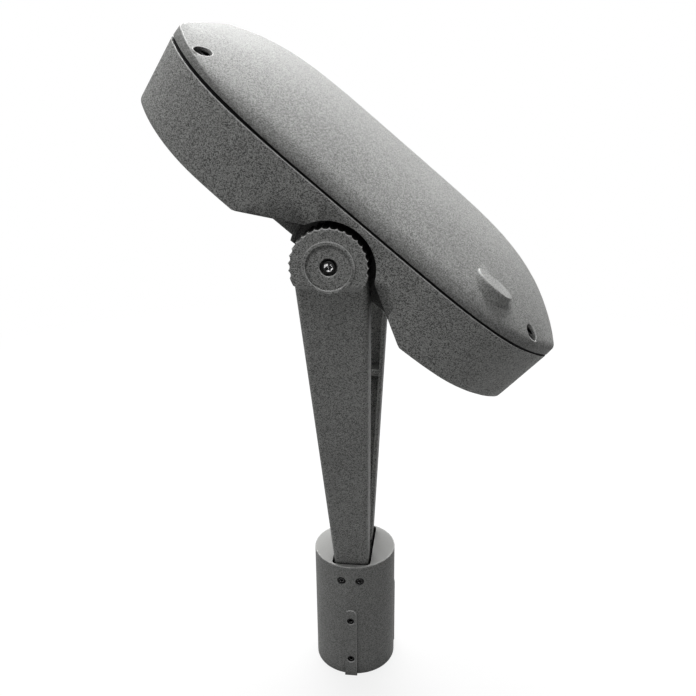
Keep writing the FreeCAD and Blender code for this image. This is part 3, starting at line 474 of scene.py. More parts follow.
def powder_coat(name, base, flecks=0.8, hollow=OPEN_HOLLOW_SHADE, seam_shade=0.0, painted_top_light=None):
    """Grey powder coat: grains, orange-peel skin, worn edges with painted highlights, and painted shade."""
    material, shader = new_material(name, base, COAT_ROUGHNESS)
    shader.inputs["Specular IOR Level"].default_value = COAT_GLOSS
    coat, coarse, dome = speckle(material, base, flecks)
    deep = scaled(base, PAINTED_SHADE_TONE)
    # Edges facing the painted light's side get a painted highlight in patches of wear, and bare metal
    edge, normal = edge_share(material, EDGE_REACH, EDGE_BAND)
    facing = dotted(material, normal, PAINTED_LIGHT_SIDE)
    crest = times(material, edge, open_share(material, CREST_REACH, CREST_BAND))
    painted_highlight_edge = times(material, crest, spread(material, facing, 0.0, 1.0, PAINTED_HIGHLIGHT_BAND))
    patches = spread(material, object_noise(material, WEAR_SCALE, detail=3.0), WEAR_LEAST, 1.0)
    wear_and_highlight = times(material, painted_highlight_edge, patches)
    coat = mixed(material, wear_and_highlight, coat, WORN_AND_HIGHLIT_EDGE)
    # Painted top light: upward faces take a lighter colour
    if painted_top_light:
        lit_top = spread(material, dotted(material, normal, UPWARD), 0.0, TOP_LIGHT_SHARE, LEVEL_BAND)
        coat = mixed(material, lit_top, coat, painted_top_light)
    # Painted shade on edges that face away from the painted light's side
    painted_edge_shade = times(material, edge, spread(material, facing, EDGE_SHADE_SHARE, 0.0, EDGE_SHADE_BAND))
    coat = mixed(material, painted_edge_shade, coat, deep)
    # Painted shade on the lid's lower band, just over the seam
    if seam_shade:
        coat = mixed(material, spread(material, head_level(material), seam_shade, 0.0, SEAM_BAND), coat, deep)
    # Painted shade in hollows: the colour darkens where the surface is enclosed
    coat = mixed(material, open_share(material, *hollow), deep, coat)
    fed(material, shader.inputs["Base Color"], coat)
    fed(material, shader.inputs["Roughness"], varied(material, coarse, COAT_ROUGHNESS, COAT_CHANGES))
    fed(material, shader.inputs["Metallic"], spread(material, wear_and_highlight, 0.0, BARE_AND_HIGHLIT_SHARE, BARE_AND_HIGHLIT_BAND))
    bumped(material, shader, dome, GRAIN_HEIGHT, rounded_normal(material, EDGE_ROUND))
    return material


def steel(name, base, roughness, bright=(0.8, 0.8, 0.8)):
    """Machined, plated or blackened steel: fine grain, painted highlights on edges, painted shade in hollows.
    """
    material, shader = new_material(name, base, roughness, 1.0)
    grain = object_noise(material, STEEL_GRAIN, stretch=STEEL_STRETCH)
    stains = object_noise(material, STEEL_STAIN, detail=3.0)
    metal = mixed(material, stains, scaled(base, STEEL_STAIN_TONE), base)
    # Painted highlight on edges, then painted shade in hollows
    metal = mixed(material, edge_share(material, *STEEL_EDGE_HIGHLIGHT)[0], metal, bright)
    metal = mixed(material, open_share(material, *STEEL_HOLLOW_SHADE), scaled(base, STEEL_SHADE_TONE), metal)
    fed(material, shader.inputs["Base Color"], metal)
    fed(material, shader.inputs["Roughness"], varied(material, grain, roughness, STEEL_CHANGES))
    bumped(material, shader, grain, FINE_HEIGHT, rounded_normal(material, STEEL_ROUND))
    return material


def steel_with_painted_glints(name, base, roughness, bright):
    """Blackened steel with painted glints: bright spots painted in the key recess round the tilt axis."""
    material, shader = new_material(name, base, roughness, 1.0)
    # Painted glints in the key recess round the tilt axis
    glint = spread(material, grains(material, GLINT_SCALE)[0], 0.0, 1.0, GLINT_BAND)
    to_axis = (0.0, 0.0, -PIVOT_HEIGHT / MM)
    flat = vector_maths(material, "MULTIPLY_ADD", "Vector", piece_place(material), (1.0, 0.0, 1.0), to_axis)
    near = spread(material, vector_maths(material, "LENGTH", "Value", flat), 1.0, 0.0, GLINT_REACH)
    fed(material, shader.inputs["Base Color"], mixed(material, times(material, glint, near), base, bright))
    grain = object_noise(material, STEEL_GRAIN)
    bumped(material, shader, grain, FINE_HEIGHT, rounded_normal(material, STEEL_ROUND))
    return material


def moulded(name, base, roughness, tone=0.12, gloss=0.5):
    """Moulded plastic or rubber with a matt skin and slight tone changes."""
    material, shader = new_material(name, base, roughness)
    shader.inputs["Specular IOR Level"].default_value = gloss
    skin = object_noise(material, SKIN_SCALE)
    tones = object_noise(material, TONE_SCALE)
    colour = mixed(material, tones, scaled(base, 1.0 - tone), scaled(base, 1.0 + tone))
    fed(material, shader.inputs["Base Color"], colour)
    fed(material, shader.inputs["Roughness"], varied(material, skin, roughness, SKIN_CHANGES))
    bumped(material, shader, skin, FINE_HEIGHT)
    return material


def clear_moulding(name):
    """Clear polycarbonate with faint flow marks."""
    material, shader = new_material(name, CLEAR_COLOUR, CLEAR_ROUGHNESS)
    shader.inputs["Transmission Weight"].default_value = CLEAR_SHARE
    shader.inputs["IOR"].default_value = CLEAR_INDEX
    bumped(material, shader, object_noise(material, FLOW_SCALE), FLOW_HEIGHT, strength=FLOW_STRENGTH)
    return material


def make_materials():
    """One finish for each material slot of the record, and the pivot screws' own."""
    return {
        "collar_paint": powder_coat("collar_powder_coat", COLLAR_PAINT_PAINTED_DARKER, 0.45, painted_top_light=TOP_LIGHT_TONE),
        "arm_paint": powder_coat("arm_powder_coat", PAINT, 0.72),
        "housing_paint": powder_coat("skirt_powder_coat", PAINT, hollow=SKIRT_HOLLOW_SHADE),
        "cover_paint": powder_coat("cover_powder_coat", COVER_PAINT_PAINTED_LIGHTER, 0.55, seam_shade=0.36),
        "dark_steel": steel("blackened_steel", (0.018, 0.018, 0.018), 0.42, (0.5, 0.5, 0.5)),
        "bright_steel": steel("stainless_steel", (0.3, 0.3, 0.305), 0.3, (0.9, 0.9, 0.9)),
        "black_rubber": moulded("silicone_rubber", (0.006, 0.006, 0.006), 0.8, 0.12, 0.1),
        "grey_fibre": moulded("fibre_washer", (0.1, 0.1, 0.1), 0.8),
        "white_board": moulded("board_mask", (0.8, 0.8, 0.78), 0.35, 0.03),
        "yellow_chip": moulded("phosphor", (0.82, 0.68, 0.2), 0.4, 0.06),
        "clear_lens": clear_moulding("clear_polycarbonate"),
        "dull_steel": steel_with_painted_glints("handled_steel", (0.02, 0.02, 0.02), 0.35, (0.95, 0.95, 0.95)),
        "zinc_plate": steel("zinc_plated_sheet", (0.55, 0.56, 0.57), 0.38),
        "driver_case": steel("bare_aluminium", (0.6, 0.6, 0.61), 0.42),
        "white_plastic": moulded("white_moulding", (0.75, 0.75, 0.72), 0.45, 0.04),
        "black_plastic": moulded("black_nylon", (0.025, 0.025, 0.026), 0.5),
    }


def linked(name, data):
    """A new object in the scene that shows a mesh, light or camera."""
    holder = bpy.data.objects.new(name, data)
    bpy.context.scene.collection.objects.link(holder)
    return holder


def area_light(name, place, size, power):
    """A round light that points at the middle of the object."""
    light = bpy.data.lights.new(name, "AREA")
    light.shape = "DISK"
    light.size = size
    light.energy = power
    holder = linked(name, light)
    holder.location = place
    holder.rotation_euler = (Vector(LIGHT_TARGET) - Vector(place)).to_track_quat("-Z", "Y").to_euler()


def seen_or_mirrored(owner):
    """One for camera, glossy and transmitted rays, and nought for the rest."""
    rays = owner.node_tree.nodes.new("ShaderNodeLightPath").outputs
    seen = maths(owner, "MAXIMUM", rays["Is Camera Ray"], rays["Is Glossy Ray"])
    return maths(owner, "MAXIMUM", seen, rays["Is Transmission Ray"])


def either(owner, factor, first, second):
    """Mixes two shaders by a factor."""
    node = owner.node_tree.nodes.new("ShaderNodeMixShader")
    for socket, value in zip(node.inputs, (factor, first, second)):
        fed(owner, socket, value)
    return node.outputs["Shader"]


def plain_light(owner, kind, strength):
    """An even white light of one strength."""
    node = owner.node_tree.nodes.new("ShaderNode" + kind)
    fed(owner, node.inputs["Color"], WHITE)
    fed(owner, node.inputs["Strength"], strength)
    return node.outputs[kind]


def make_world():
    """Soft even light, with a white backdrop for the camera and for mirrored rays."""
    world = bpy.data.worlds.new("studio")
    bpy.context.scene.world = world
    world.use_nodes = True
    world.node_tree.nodes.clear()
    out = world.node_tree.nodes.new("ShaderNodeOutputWorld")
    soft = plain_light(world, "Background", WORLD_LEVEL)
    white = plain_light(world, "Background", 1.0)
    fed(world, out.inputs["Surface"], either(world, seen_or_mirrored(world), soft, white))


def make_floor():
    """Plain pale floor with a faint shadow that fades to the backdrop's white; from below it is clear."""
    mesh = bpy.data.meshes.new("floor")
    mesh.from_pydata([(FLOOR_HALF * a, FLOOR_HALF * b, 0.0) for a, b in SQUARE], [], [(0, 1, 2, 3)])
    floor = linked("floor", mesh)
    material, shader = new_material("pale_floor", FLOOR_COLOUR, FLOOR_ROUGHNESS)
    shader.inputs["Specular IOR Level"].default_value = FLOOR_GLOSS
    nodes = material.node_tree.nodes
    bounced = nodes.new("ShaderNodeLightPath").outputs["Is Diffuse Ray"]
    fed(material, shader.inputs["Base Color"], mixed(material, bounced, FLOOR_COLOUR, FLOOR_BOUNCE))
    distance = vector_maths(material, "LENGTH", "Value", piece_place(material))
    glow_share = times(material, seen_or_mirrored(material),
                       spread(material, distance, FLOOR_GLOW, 1.0, FLOOR_FADE))
    glow = plain_light(material, "Emission", 1.0)
    above = either(material, glow_share, shader.outputs["BSDF"], glow)
    from_below = nodes.new("ShaderNodeNewGeometry").outputs["Backfacing"]
    clear = nodes.new("ShaderNodeBsdfTransparent").outputs["BSDF"]
    fed(material, nodes["Material Output"].inputs["Surface"], either(material, from_below, above, clear))
    mesh.materials.append(material)


def make_camera():
    """Camera at the photograph's viewing angle."""
    ahead = Vector((-math.sin(CAMERA_YAW) * math.cos(CAMERA_PITCH),
                    math.cos(CAMERA_YAW) * math.cos(CAMERA_PITCH), -math.sin(CAMERA_PITCH)))
    level = Vector((math.cos(CAMERA_YAW), math.sin(CAMERA_YAW), 0.0))
    upward = level.cross(ahead)
    turn_cos, turn_sin = math.cos(CAMERA_ROLL), math.sin(CAMERA_ROLL)
    right = turn_cos * level + turn_sin * upward
    top = -turn_sin * level + turn_cos * upward
    data = bpy.data.cameras.new("camera")
    data.lens = CAMERA_LENS
    data.sensor_width = CAMERA_SENSOR
    data.shift_x, data.shift_y = CAMERA_SHIFT
    data.clip_start, data.clip_end = CAMERA_CLIP
    camera = linked("camera", data)
    turn = Matrix((right, top, -ahead)).transposed()
    camera.matrix_world = Matrix.Translation(Vector(CAMERA_PLACE)) @ turn.to_4x4()
    bpy.context.scene.camera = camera


def merged_copy(name, node):
    """A node's mesh with its loose triangles joined and its flat faces made whole."""
    body = bmesh.new()
    body.from_mesh(frame["nodes"][node].data)
    bmesh.ops.remove_doubles(body, verts=body.verts, dist=MERGE_DISTANCE)
    bmesh.ops.dissolve_limit(body, angle_limit=FLAT_ANGLE, verts=body.verts, edges=body.edges)
    mesh = bpy.data.meshes.new(name)
    body.to_mesh(mesh)
    body.free()
    return mesh


def settled(holder):
    """Turns a piece's live modifiers into a plain mesh."""
    bpy.context.view_layer.update()
    graph = bpy.context.evaluated_depsgraph_get()
    mesh = bpy.data.meshes.new_from_object(holder.evaluated_get(graph))
    mesh.name = holder.name
    holder.modifiers.clear()
    holder.data = mesh


def in_world(u, y, level):
    """A point of the head's level frame at its place in the stored tilt, in metres."""
    x = u * math.cos(HEAD_TILT) + level * math.sin(HEAD_TILT)
    z = PIVOT_HEIGHT - u * math.sin(HEAD_TILT) + level * math.cos(HEAD_TILT)
    return (x / MM, y / MM, z / MM)


def own_place(a, b, height):
    """A point of a part's own frame, in metres."""
    return (a / MM, b / MM, height / MM)


def standing(centre_u, centre_y):
    """A placing function for bodies that stand on the head's level plane."""
    return lambda a, b, height: in_world(centre_u + a, centre_y + b, height)


def eased(value, low, high):
    """Smooth step from nought to one."""
    share = min(max((value - low) / (high - low), 0.0), 1.0)
    return share * share * (3 - 2 * share)


def side_y(u):
    """Half width of the head at a distance from its middle, before its corners are rounded."""
    return HALF_WIDTH - (HALF_WIDTH - HALF_END) * abs(u / HALF_LENGTH) ** SIDE_POWER


def offset_side(u, inset):
    """The side curve's point at u, moved inwards square to the curve."""
    fall = (HALF_WIDTH - HALF_END) * SIDE_POWER / HALF_LENGTH
    slope = -fall * abs(u / HALF_LENGTH) ** (SIDE_POWER - 1) * (1 if u > 0 else -1)
    length = math.hypot(1.0, slope)
    return u + inset * slope / length, side_y(u) - inset / length


def side_end():
    """Where the side curve meets the corner's arc, found by halving."""
    low, high = 0.0, HALF_LENGTH
    for _ in range(HALVINGS):
        middle = (low + high) / 2
        if offset_side(middle, CORNER_RADIUS)[0] < HALF_LENGTH - CORNER_RADIUS:
            low = middle
        else:
            high = middle
    return low


def quarter_outline(inset):
    """One quarter of the head's outline, from the middle of its side to the middle of its end."""
    join = side_end()
    centre = offset_side(join, CORNER_RADIUS)
    radius = CORNER_RADIUS - inset
    points = []
    for step in range(SIDE_STEPS // 2):
        points.append(offset_side(join * math.sin(math.pi * step / SIDE_STEPS), inset))
    start = offset_side(join, inset)
    lean = math.atan2(start[1] - centre[1], start[0] - centre[0])
    for step in range(CORNER_STEPS + 1):
        turn = lean * (1 - step / CORNER_STEPS)
        points.append((centre[0] + radius * math.cos(turn), centre[1] + radius * math.sin(turn)))
    for step in range(1, END_STEPS // 2 + 1):
        points.append((HALF_LENGTH - inset, centre[1] * (1 - 2 * step / END_STEPS)))
    return points


def outline(inset):
    """The whole outline about its own middle, once round."""
    quarter = quarter_outline(inset)
    right = quarter + [(u, -y) for u, y in reversed(quarter[:-1])]
    return right + [(-u, y) for u, y in reversed(right[1:-1])]


def turned_out(mesh):
    """Points every face of a closed mesh outwards."""
    body = bmesh.new()
    body.from_mesh(mesh)
    bmesh.ops.recalc_face_normals(body, faces=body.faces)
    body.to_mesh(mesh)
    body.free()


def ring_body(name, rings):
    """A closed mesh through equal rings of points, each joined to the next and the last to the first."""
    mesh = bpy.data.meshes.new(name)
    count = len(rings[0])
    faces = []
    for row in range(len(rings)):
        near, far = row * count, (row + 1) % len(rings) * count
        for step in range(count):
            after = (step + 1) % count
            faces.append((near + step, near + after, far + after, far + step))
    mesh.from_pydata([point for ring in rings for point in ring], [], faces)
    turned_out(mesh)
    return mesh


def capped_body(name, rings):
    """A closed mesh through equal rings of points, with its first and last ring filled."""
    mesh = bpy.data.meshes.new(name)
    count = len(rings[0])
    last = (len(rings) - 1) * count
    faces = [tuple(range(count)), tuple(reversed(range(last, last + count)))]
    for near in range(0, last, count):
        far = near + count
        for step in range(count):
            after = (step + 1) % count
            faces.append((near + after, near + step, far + step, far + after))
    mesh.from_pydata([point for ring in rings for point in ring], [], faces)
    turned_out(mesh)
    return mesh


def round_ring(radius, steps):
    """Points once round a circle."""
    turns = [FULL_TURN * step / steps for step in range(steps)]
    return [(radius * math.cos(turn), radius * math.sin(turn)) for turn in turns]


def rounded_rim(radius, top, size, steps):
    """Profile points of the quarter round at a round body's upper rim."""
    points = []
    for step in range(steps + 1):
        turn = QUARTER_TURN * step / steps
        points.append((radius - size * (1 - math.cos(turn)), top - size * (1 - math.sin(turn))))
    return points


def turned_solid(name, profile, place_point, steps=POST_STEPS):
    """A closed round body from its profile of radius and height, placed by a function of three values."""
    rings = [[place_point(a, b, height) for a, b in round_ring(radius, steps)] for radius, height in profile]
    return capped_body(name, rings)


def joined_mesh(name, meshes):
    """One mesh of several separate closed bodies."""
    body = bmesh.new()
    for mesh in meshes:
        body.from_mesh(mesh)
        bpy.data.meshes.remove(mesh)
    mesh = bpy.data.meshes.new(name)
    body.to_mesh(mesh)
    body.free()
    return mesh


def cut_by(holder, other, operation):
    """Joins, cuts or keeps the common part of two closed bodies."""
    step = holder.modifiers.new(operation.lower(), "BOOLEAN")
    step.operation = operation
    step.object = other
    step.solver = "EXACT"
    settled(holder)
    bpy.data.objects.remove(other)


def dressed(holder, body, finish, node):
    """Smooth shading between sharp edges, the finish, the body it rides on and the node it stands for."""
    mesh = holder.data
    mesh.polygons.foreach_set("use_smooth", [True] * len(mesh.polygons))
    mesh.set_sharp_from_angle(angle=SHARP_ANGLE)
    level = holder.modifiers.new("shading", "WEIGHTED_NORMAL")
    level.keep_sharp = True
    settled(holder)
    holder.data.materials.clear()
    holder.data.materials.append(finish)
    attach(holder, body)
    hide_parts(node)


def casting(name, node, body):
    """The node's own shape as a piece, in the finish of its slot."""
    dressed(linked(name, merged_copy(name, node)), body, finishes[slots[node]], node)


def dome_level(u, y):
    """Height of the lid's top over a point of its outline."""
    along = min(abs(u / HALF_LENGTH), 1.0)
    share = abs(y) / side_y(along * HALF_LENGTH)
    crown = LID_END + (LID_CROWN - LID_END) * (1 - along ** LID_LENGTH_POWER)
    side = LID_END + (LID_SIDE - LID_END) * (1 - along ** LID_SIDE_POWER)
    fall = (LID_FALL - LID_END_RELIEF * along ** LID_RELIEF_POWER) * share ** LID_FALL_POWER
    return side + (crown - side) * (1 - share ** LID_WIDTH_POWER) - fall


def shoulder_drop(u, inset):
    """How far the lid's rounded shoulder lies under the plain dome, by the distance from its edge."""
    soft = eased(abs(u / HALF_LENGTH), *LID_SOFT_SPAN)
    reach = LID_CREASE_REACH + (LID_SHOULDER_REACH - LID_CREASE_REACH) * soft
    broad = (LID_SHOULDER_DEPTH * soft) * max(1 - inset / reach, 0.0) ** LID_SHOULDER_POWER
    softest = LID_CREASE_CRISP if u < 0 else LID_LOW_END_SOFT
    round_share = softest + (1 - softest) * soft
    crisp = max(1 - inset / (LID_CREASE_REACH * round_share), 0.0)
    return broad + LID_CREASE_DEPTH * round_share * (1 - math.sqrt(1 - crisp * crisp))


def lid_low(u):
    """Level of the lid's lower edge; the gap over the seam opens a little towards the raised end."""
    return LID_LOW + LID_RAISED_END * eased(-u / HALF_LENGTH, *LID_GAP_SPAN)


def lid_skin(lowered, shrink):
    """Rings of the lid's outer or inner skin, from its lower edge to the crown."""
    rings = []
    edge = outline(shrink)
    tops = [dome_level(u, y) - shoulder_drop(u, 0.0) - lowered for u, y in edge]
    for share in LID_WALL_SHARES:
        rings.append([(u, y, lid_low(u) + (top - lid_low(u)) * share) for (u, y), top in zip(edge, tops)])
    for inset in LID_INSETS:
        ring = outline(shrink + inset * (CORNER_RADIUS - CORNER_LEAST - shrink) / CORNER_RADIUS)
        rings.append([(u, y, dome_level(u, y) - shoulder_drop(u, inset) - lowered) for u, y in ring])
    last = rings[-1]
    for step in range(1, LID_CROWN_STEPS):
        share = 1 - step / LID_CROWN_STEPS
        ring = [(u * share, y * share) for u, y, _ in last]
        rings.append([(u, y, dome_level(u, y) - lowered) for u, y in ring])
    return rings


def corner_screws():
    """Places of the four cover screws, in the head's level frame."""
    along = HALF_LENGTH - SCREW_END_GAP
    across = side_y(along) - SCREW_SIDE_GAP
    return [(CENTRE_U + mirror_u * along, mirror_y * across) for mirror_u in (1, -1) for mirror_y in (1, -1)]


def make_lid():
    """Domed lid: crisp crease at its ends, broad soft shoulder along its sides, boss and screw seats."""
    outer = lid_skin(0.0, 0.0)
    inner = lid_skin(LID_WALL, LID_WALL)
    low_edge = [(u, y, level + LID_EDGE_EASE) for u, y, level in outer[0]]
    eased_edge = [(u * LID_EDGE_PULL, y * LID_EDGE_PULL, level) for u, y, level in outer[0]]
    rings = list(reversed(inner)) + [eased_edge, low_edge] + outer[1:]
    placed = [[in_world(u + CENTRE_U, y, level) for u, y, level in ring] for ring in rings]
    lid = linked("lid_casting", capped_body("lid_casting", placed))
    boss = [(BOSS_RADIUS, LID_LOW + LID_WALL)] + rounded_rim(BOSS_RADIUS, BOSS_TOP, BOSS_ROUND, RIM_STEPS)
    post = [(POST_RADIUS, LID_LOW + LID_RAISED_END), (POST_RADIUS, POST_TOP)]
    well = [(SCREW_HOLE, SEAM_LEVEL), (SCREW_HOLE, SCREW_SEAT),
            (RECESS_RADIUS, SCREW_SEAT), (RECESS_RADIUS, LID_CROWN)]
    additions = [turned_solid("boss", boss, standing(*BOSS_PLACE), BOSS_STEPS)]
    additions += [turned_solid("post", post, standing(*place)) for place in corner_screws()]
    cut_by(lid, linked("additions", joined_mesh("additions", additions)), "UNION")
    wells = [turned_solid("well", well, standing(*place)) for place in corner_screws()]
    cut_by(lid, linked("wells", joined_mesh("wells", wells)), "DIFFERENCE")
    dressed(lid, "head", finishes["cover_paint"], "head_cover")


def envelope_ring(inset, above, rounded):
    """A ring round the skirt, in shares of its edge's round, which grows towards the ends, or in mm."""
    ring = []
    for (u, y), (near_u, near_y) in zip(outline(0.0), outline(PROBE_INSET)):
        growth = eased(abs(u / HALF_LENGTH), *SKIRT_GROWTH_SPAN)
        size = SKIRT_ROUND + (SKIRT_END_ROUND - SKIRT_ROUND) * growth if rounded else 1.0
        level = FLOOR_LEVEL + above * size
        rise = max(SEAM_LEVEL - level, 0.0)
        depth = rise * SIDE_DRAFT + inset * size
        lean = END_DRAFT - (STRAIGHTER_END if u > 0 else 0.0)
        stretch = 1 + rise * (SIDE_DRAFT - lean) / HALF_LENGTH
        moved_u = u + (near_u - u) * depth / PROBE_INSET
        moved_y = y + (near_y - y) * depth / PROBE_INSET
        ring.append(in_world(moved_u * stretch + CENTRE_U, moved_y, level))
    return ring


def skirt_envelope():
    """A body a little larger than the skirt, with the large round of the skirt's lower edge."""
    rings = []
    for step in range(SKIRT_ROUND_STEPS + 1):
        turn = QUARTER_TURN * step / SKIRT_ROUND_STEPS
        inset = 1 - math.sin(turn) - SKIRT_CLEAR_SIDE
        rings.append(envelope_ring(inset, 1 - math.cos(turn) - SKIRT_CLEAR_FLOOR, True))
    for inset, above in ENVELOPE_SIDES:
        rings.append(envelope_ring(inset, above, False))
    return capped_body("envelope", rings)


def hub_shields():
    """Two flat rings in the housing that close the space between each hub and its round wall."""
    section = ((SHIELD_INNER, SHIELD_FROM), (SHIELD_OUTER, SHIELD_FROM),
               (SHIELD_OUTER, SHIELD_TO), (SHIELD_INNER, SHIELD_TO))
    shields = []
    for side in (1, -1):
        loops = [[in_world(u, side * reach, level) for u, level in round_ring(radius, SHIELD_STEPS)]
                 for radius, reach in section]
        shields.append(ring_body("shield", loops))
    return joined_mesh("shields", shields)


def straighter_end(mesh):
    """Leans the wall of the head's lowered end out a little, as the photograph shows it."""
    tilt_cos, tilt_sin = math.cos(HEAD_TILT), math.sin(HEAD_TILT)
    for vertex in mesh.vertices:
        x, z = vertex.co.x * MM, vertex.co.z * MM - PIVOT_HEIGHT
        u, level = x * tilt_cos - z * tilt_sin, x * tilt_sin + z * tilt_cos
        moved = STRAIGHTER_END * max(SEAM_LEVEL - level, 0.0) * eased(u - CENTRE_U, *END_WALL_SPAN)
        vertex.co = in_world(u + moved, vertex.co.y * MM, level)


def make_skirt():
    """The housing with a large round along its lower edge, and a shield behind each tilt disc."""
    mesh = merged_copy("skirt_casting", "head_housing")
    straighter_end(mesh)
    skirt = linked("skirt_casting", mesh)
    cut_by(skirt, linked("shields", hub_shields()), "UNION")
    cut_by(skirt, linked("envelope", skirt_envelope()), "INTERSECT")
    dressed(skirt, "head", finishes["housing_paint"], "head_housing")


def repeat_tree():
    """Node tree that sets one part on every point, turned as the point says and spun at random."""
    tree = bpy.data.node_groups.new("repeats", "GeometryNodeTree")
    inputs = {}
    for name, kind in (("Points", "Geometry"), ("Part", "Object"), ("Size", "Float"), ("Spin", "Float"),
                       ("Seed", "Int"), ("Finish", "Material")):
        socket = tree.interface.new_socket(name, in_out="INPUT", socket_type="NodeSocket" + kind)
        inputs[name] = socket.identifier
    tree.interface.new_socket("Geometry", in_out="OUTPUT", socket_type="NodeSocketGeometry")
    given = tree.nodes.new("NodeGroupInput")
    made = tree.nodes.new("NodeGroupOutput")
    part = tree.nodes.new("GeometryNodeObjectInfo")
    turn = tree.nodes.new("GeometryNodeInputNamedAttribute")
    turn.data_type = "FLOAT_VECTOR"
    turn.inputs["Name"].default_value = "turn"
    spread_out = tree.nodes.new("GeometryNodeInstanceOnPoints")
    spin = tree.nodes.new("FunctionNodeRandomValue")
    spin.data_type = "FLOAT"
    least, most = [socket for socket in spin.inputs if socket.enabled][:2]
    least.default_value = 0.0
    drawn = [socket for socket in spin.outputs if socket.enabled][0]
    upright = tree.nodes.new("ShaderNodeCombineXYZ")
    spun = tree.nodes.new("GeometryNodeRotateInstances")
    whole = tree.nodes.new("GeometryNodeRealizeInstances")
    coloured = tree.nodes.new("GeometryNodeSetMaterial")
    for source, target in (
            (given.outputs["Part"], part.inputs["Object"]),
            (given.outputs["Points"], spread_out.inputs["Points"]),
            (part.outputs["Geometry"], spread_out.inputs["Instance"]),
            (turn.outputs["Attribute"], spread_out.inputs["Rotation"]),
            (given.outputs["Size"], spread_out.inputs["Scale"]),
            (given.outputs["Spin"], most),
            (given.outputs["Seed"], spin.inputs["Seed"]),
            (drawn, upright.inputs["Z"]),
            (spread_out.outputs["Instances"], spun.inputs["Instances"]),
            (upright.outputs["Vector"], spun.inputs["Rotation"]),
            (spun.outputs["Instances"], whole.inputs["Geometry"]),
            (whole.outputs["Geometry"], coloured.inputs["Geometry"]),
            (given.outputs["Finish"], coloured.inputs["Material"]),
            (coloured.outputs["Geometry"], made.inputs["Geometry"])):
        tree.links.new(source, target)
    return tree, inputs


def repeated(name, part_mesh, places, finish, spin):
    """One plain mesh of a part set at each place, a place being a point and the turns about three axes."""
    mesh = bpy.data.meshes.new(name)
    mesh.from_pydata([point for point, _ in places], [], [])
    turns = mesh.attributes.new("turn", "FLOAT_VECTOR", "POINT")
    turns.data.foreach_set("vector", [angle for _, angles in places for angle in angles])
    holder = linked(name, mesh)
    part = linked(name + "_part", part_mesh)
    tree, inputs = repeat_tree()
    step = holder.modifiers.new("repeats", "NODES")
    step.node_group = tree
    values = {"Part": part, "Size": 1.0, "Spin": spin, "Seed": SPIN_SEED, "Finish": finish}
    for label, value in values.items():
        step[inputs[label]] = value
    settled(holder)
    bpy.data.objects.remove(part)
    bpy.data.node_groups.remove(tree)
    return holder


def dressed_set(name, part_mesh, places, body, node, finish=None, spin=FULL_TURN):
    """A set of one part, in the finish of the node's slot unless another is given."""
    finish = finish or finishes[slots[node]]
    dressed(repeated(name, part_mesh, places, finish, spin), body, finish, node)


def key_outline(radius, lobes):
    """A hexagon, or a round with hollows between its lobes, for the key's recess."""
    if not lobes:
        return round_ring(radius, KEY_SIDES)
    points = []
    for step in range(KEY_STEPS):
        turn = FULL_TURN * step / KEY_STEPS
        reach = radius * (KEY_MEAN + KEY_LOBE * math.cos(lobes * turn))
        points.append((reach * math.cos(turn), reach * math.sin(turn)))
    return points


def screw_part(head_radius, head_height, radius, length, key_radius, key_depth, lobes=0, pin=0.0,
               crown=SCREW_CROWN):
    """A screw with an eased head and a key's recess; its head stands on its own frame's ground."""
    low = max(radius - SCREW_TIP, radius * SCREW_TIP_SHARE)
    profile = [(low, -length), (radius, -length + SCREW_TIP)]
    if head_height > 0:
        profile += [(radius, 0.0), (head_radius - SCREW_RIM, 0.0), (head_radius, SCREW_RIM)]
    profile += rounded_rim(head_radius, head_height, crown, SCREW_CROWN_STEPS)
    screw = linked("screw", turned_solid("screw", profile, own_place, SCREW_STEPS))
    edge = key_outline(key_radius, lobes)
    rings = [[own_place(a, b, head_height + height) for a, b in edge] for height in (-key_depth, KEY_CLEAR)]
    cut_by(screw, linked("key", capped_body("key", rings)), "DIFFERENCE")
    if pin:
        stud = [(pin, head_height - key_depth - PIN_SUNK), (pin, head_height - PIN_SUNK),
                (pin * PIN_TIP_SHARE, head_height)]
        cut_by(screw, linked("pin", turned_solid("pin", stud, own_place, PIN_STEPS)), "UNION")
    mesh = screw.data
    bpy.data.objects.remove(screw)
    return mesh


def head_place(u, y, level, upright):
    """A place on the head, with the part's own height along the head's up or down direction."""
    return in_world(u, y, level), (0.0, HEAD_TILT if upright else HEAD_TILT + math.pi, 0.0)


def radial_place(x, y, z, heading):
    """A place round the collar or the tilt axis, with the part's own height along a level heading."""
    return own_place(x, y, z), (0.0, QUARTER_TURN, heading)


def screw_sets():
    """Every visible set of screws, drawn with its rims and key recesses."""
    places = [head_place(u, y, SCREW_SEAT, True) for u, y in corner_screws()]
    dressed_set("cover_screw_set", screw_part(**COVER_SCREW), places, "head", "cover_screws",
                finishes["zinc_plate"])
    places = [radial_place(SET_SCREW_REACH * math.cos(heading), SET_SCREW_REACH * math.sin(heading), level,
                           heading) for heading in SET_SCREW_HEADINGS for level in SET_SCREW_LEVELS]
    dressed_set("set_screw_set", screw_part(**SET_SCREW), places, "fork", "set_screws")
    places = [radial_place(x, side * ARM_SCREW_REACH, ARM_SCREW_LEVEL, side * QUARTER_TURN)
              for side in (-1, 1) for x in (-ARM_SCREW_SPREAD, ARM_SCREW_SPREAD)]
    dressed_set("arm_screw_set", screw_part(**ARM_SCREW), places, "fork", "arm_screws")
    places = [head_place(u, y, LENS_FACE, False) for u in LENS_SCREW_ROWS for y in LENS_SCREW_COLUMNS]
    dressed_set("lens_screw_set", screw_part(**LENS_SCREW), places, "head", "lens_screws")
    for name, node, side in (("near_pivot_screw", "front_pivot_screw", -1),
                             ("far_pivot_screw", "rear_pivot_screw", 1)):
        place = radial_place(0.0, side * PIVOT_SCREW_REACH, PIVOT_HEIGHT, side * QUARTER_TURN)
        dressed_set(name, screw_part(**PIVOT_SCREW), [place], "head", node, finishes["dull_steel"],
                    PIVOT_SCREW_SPIN)


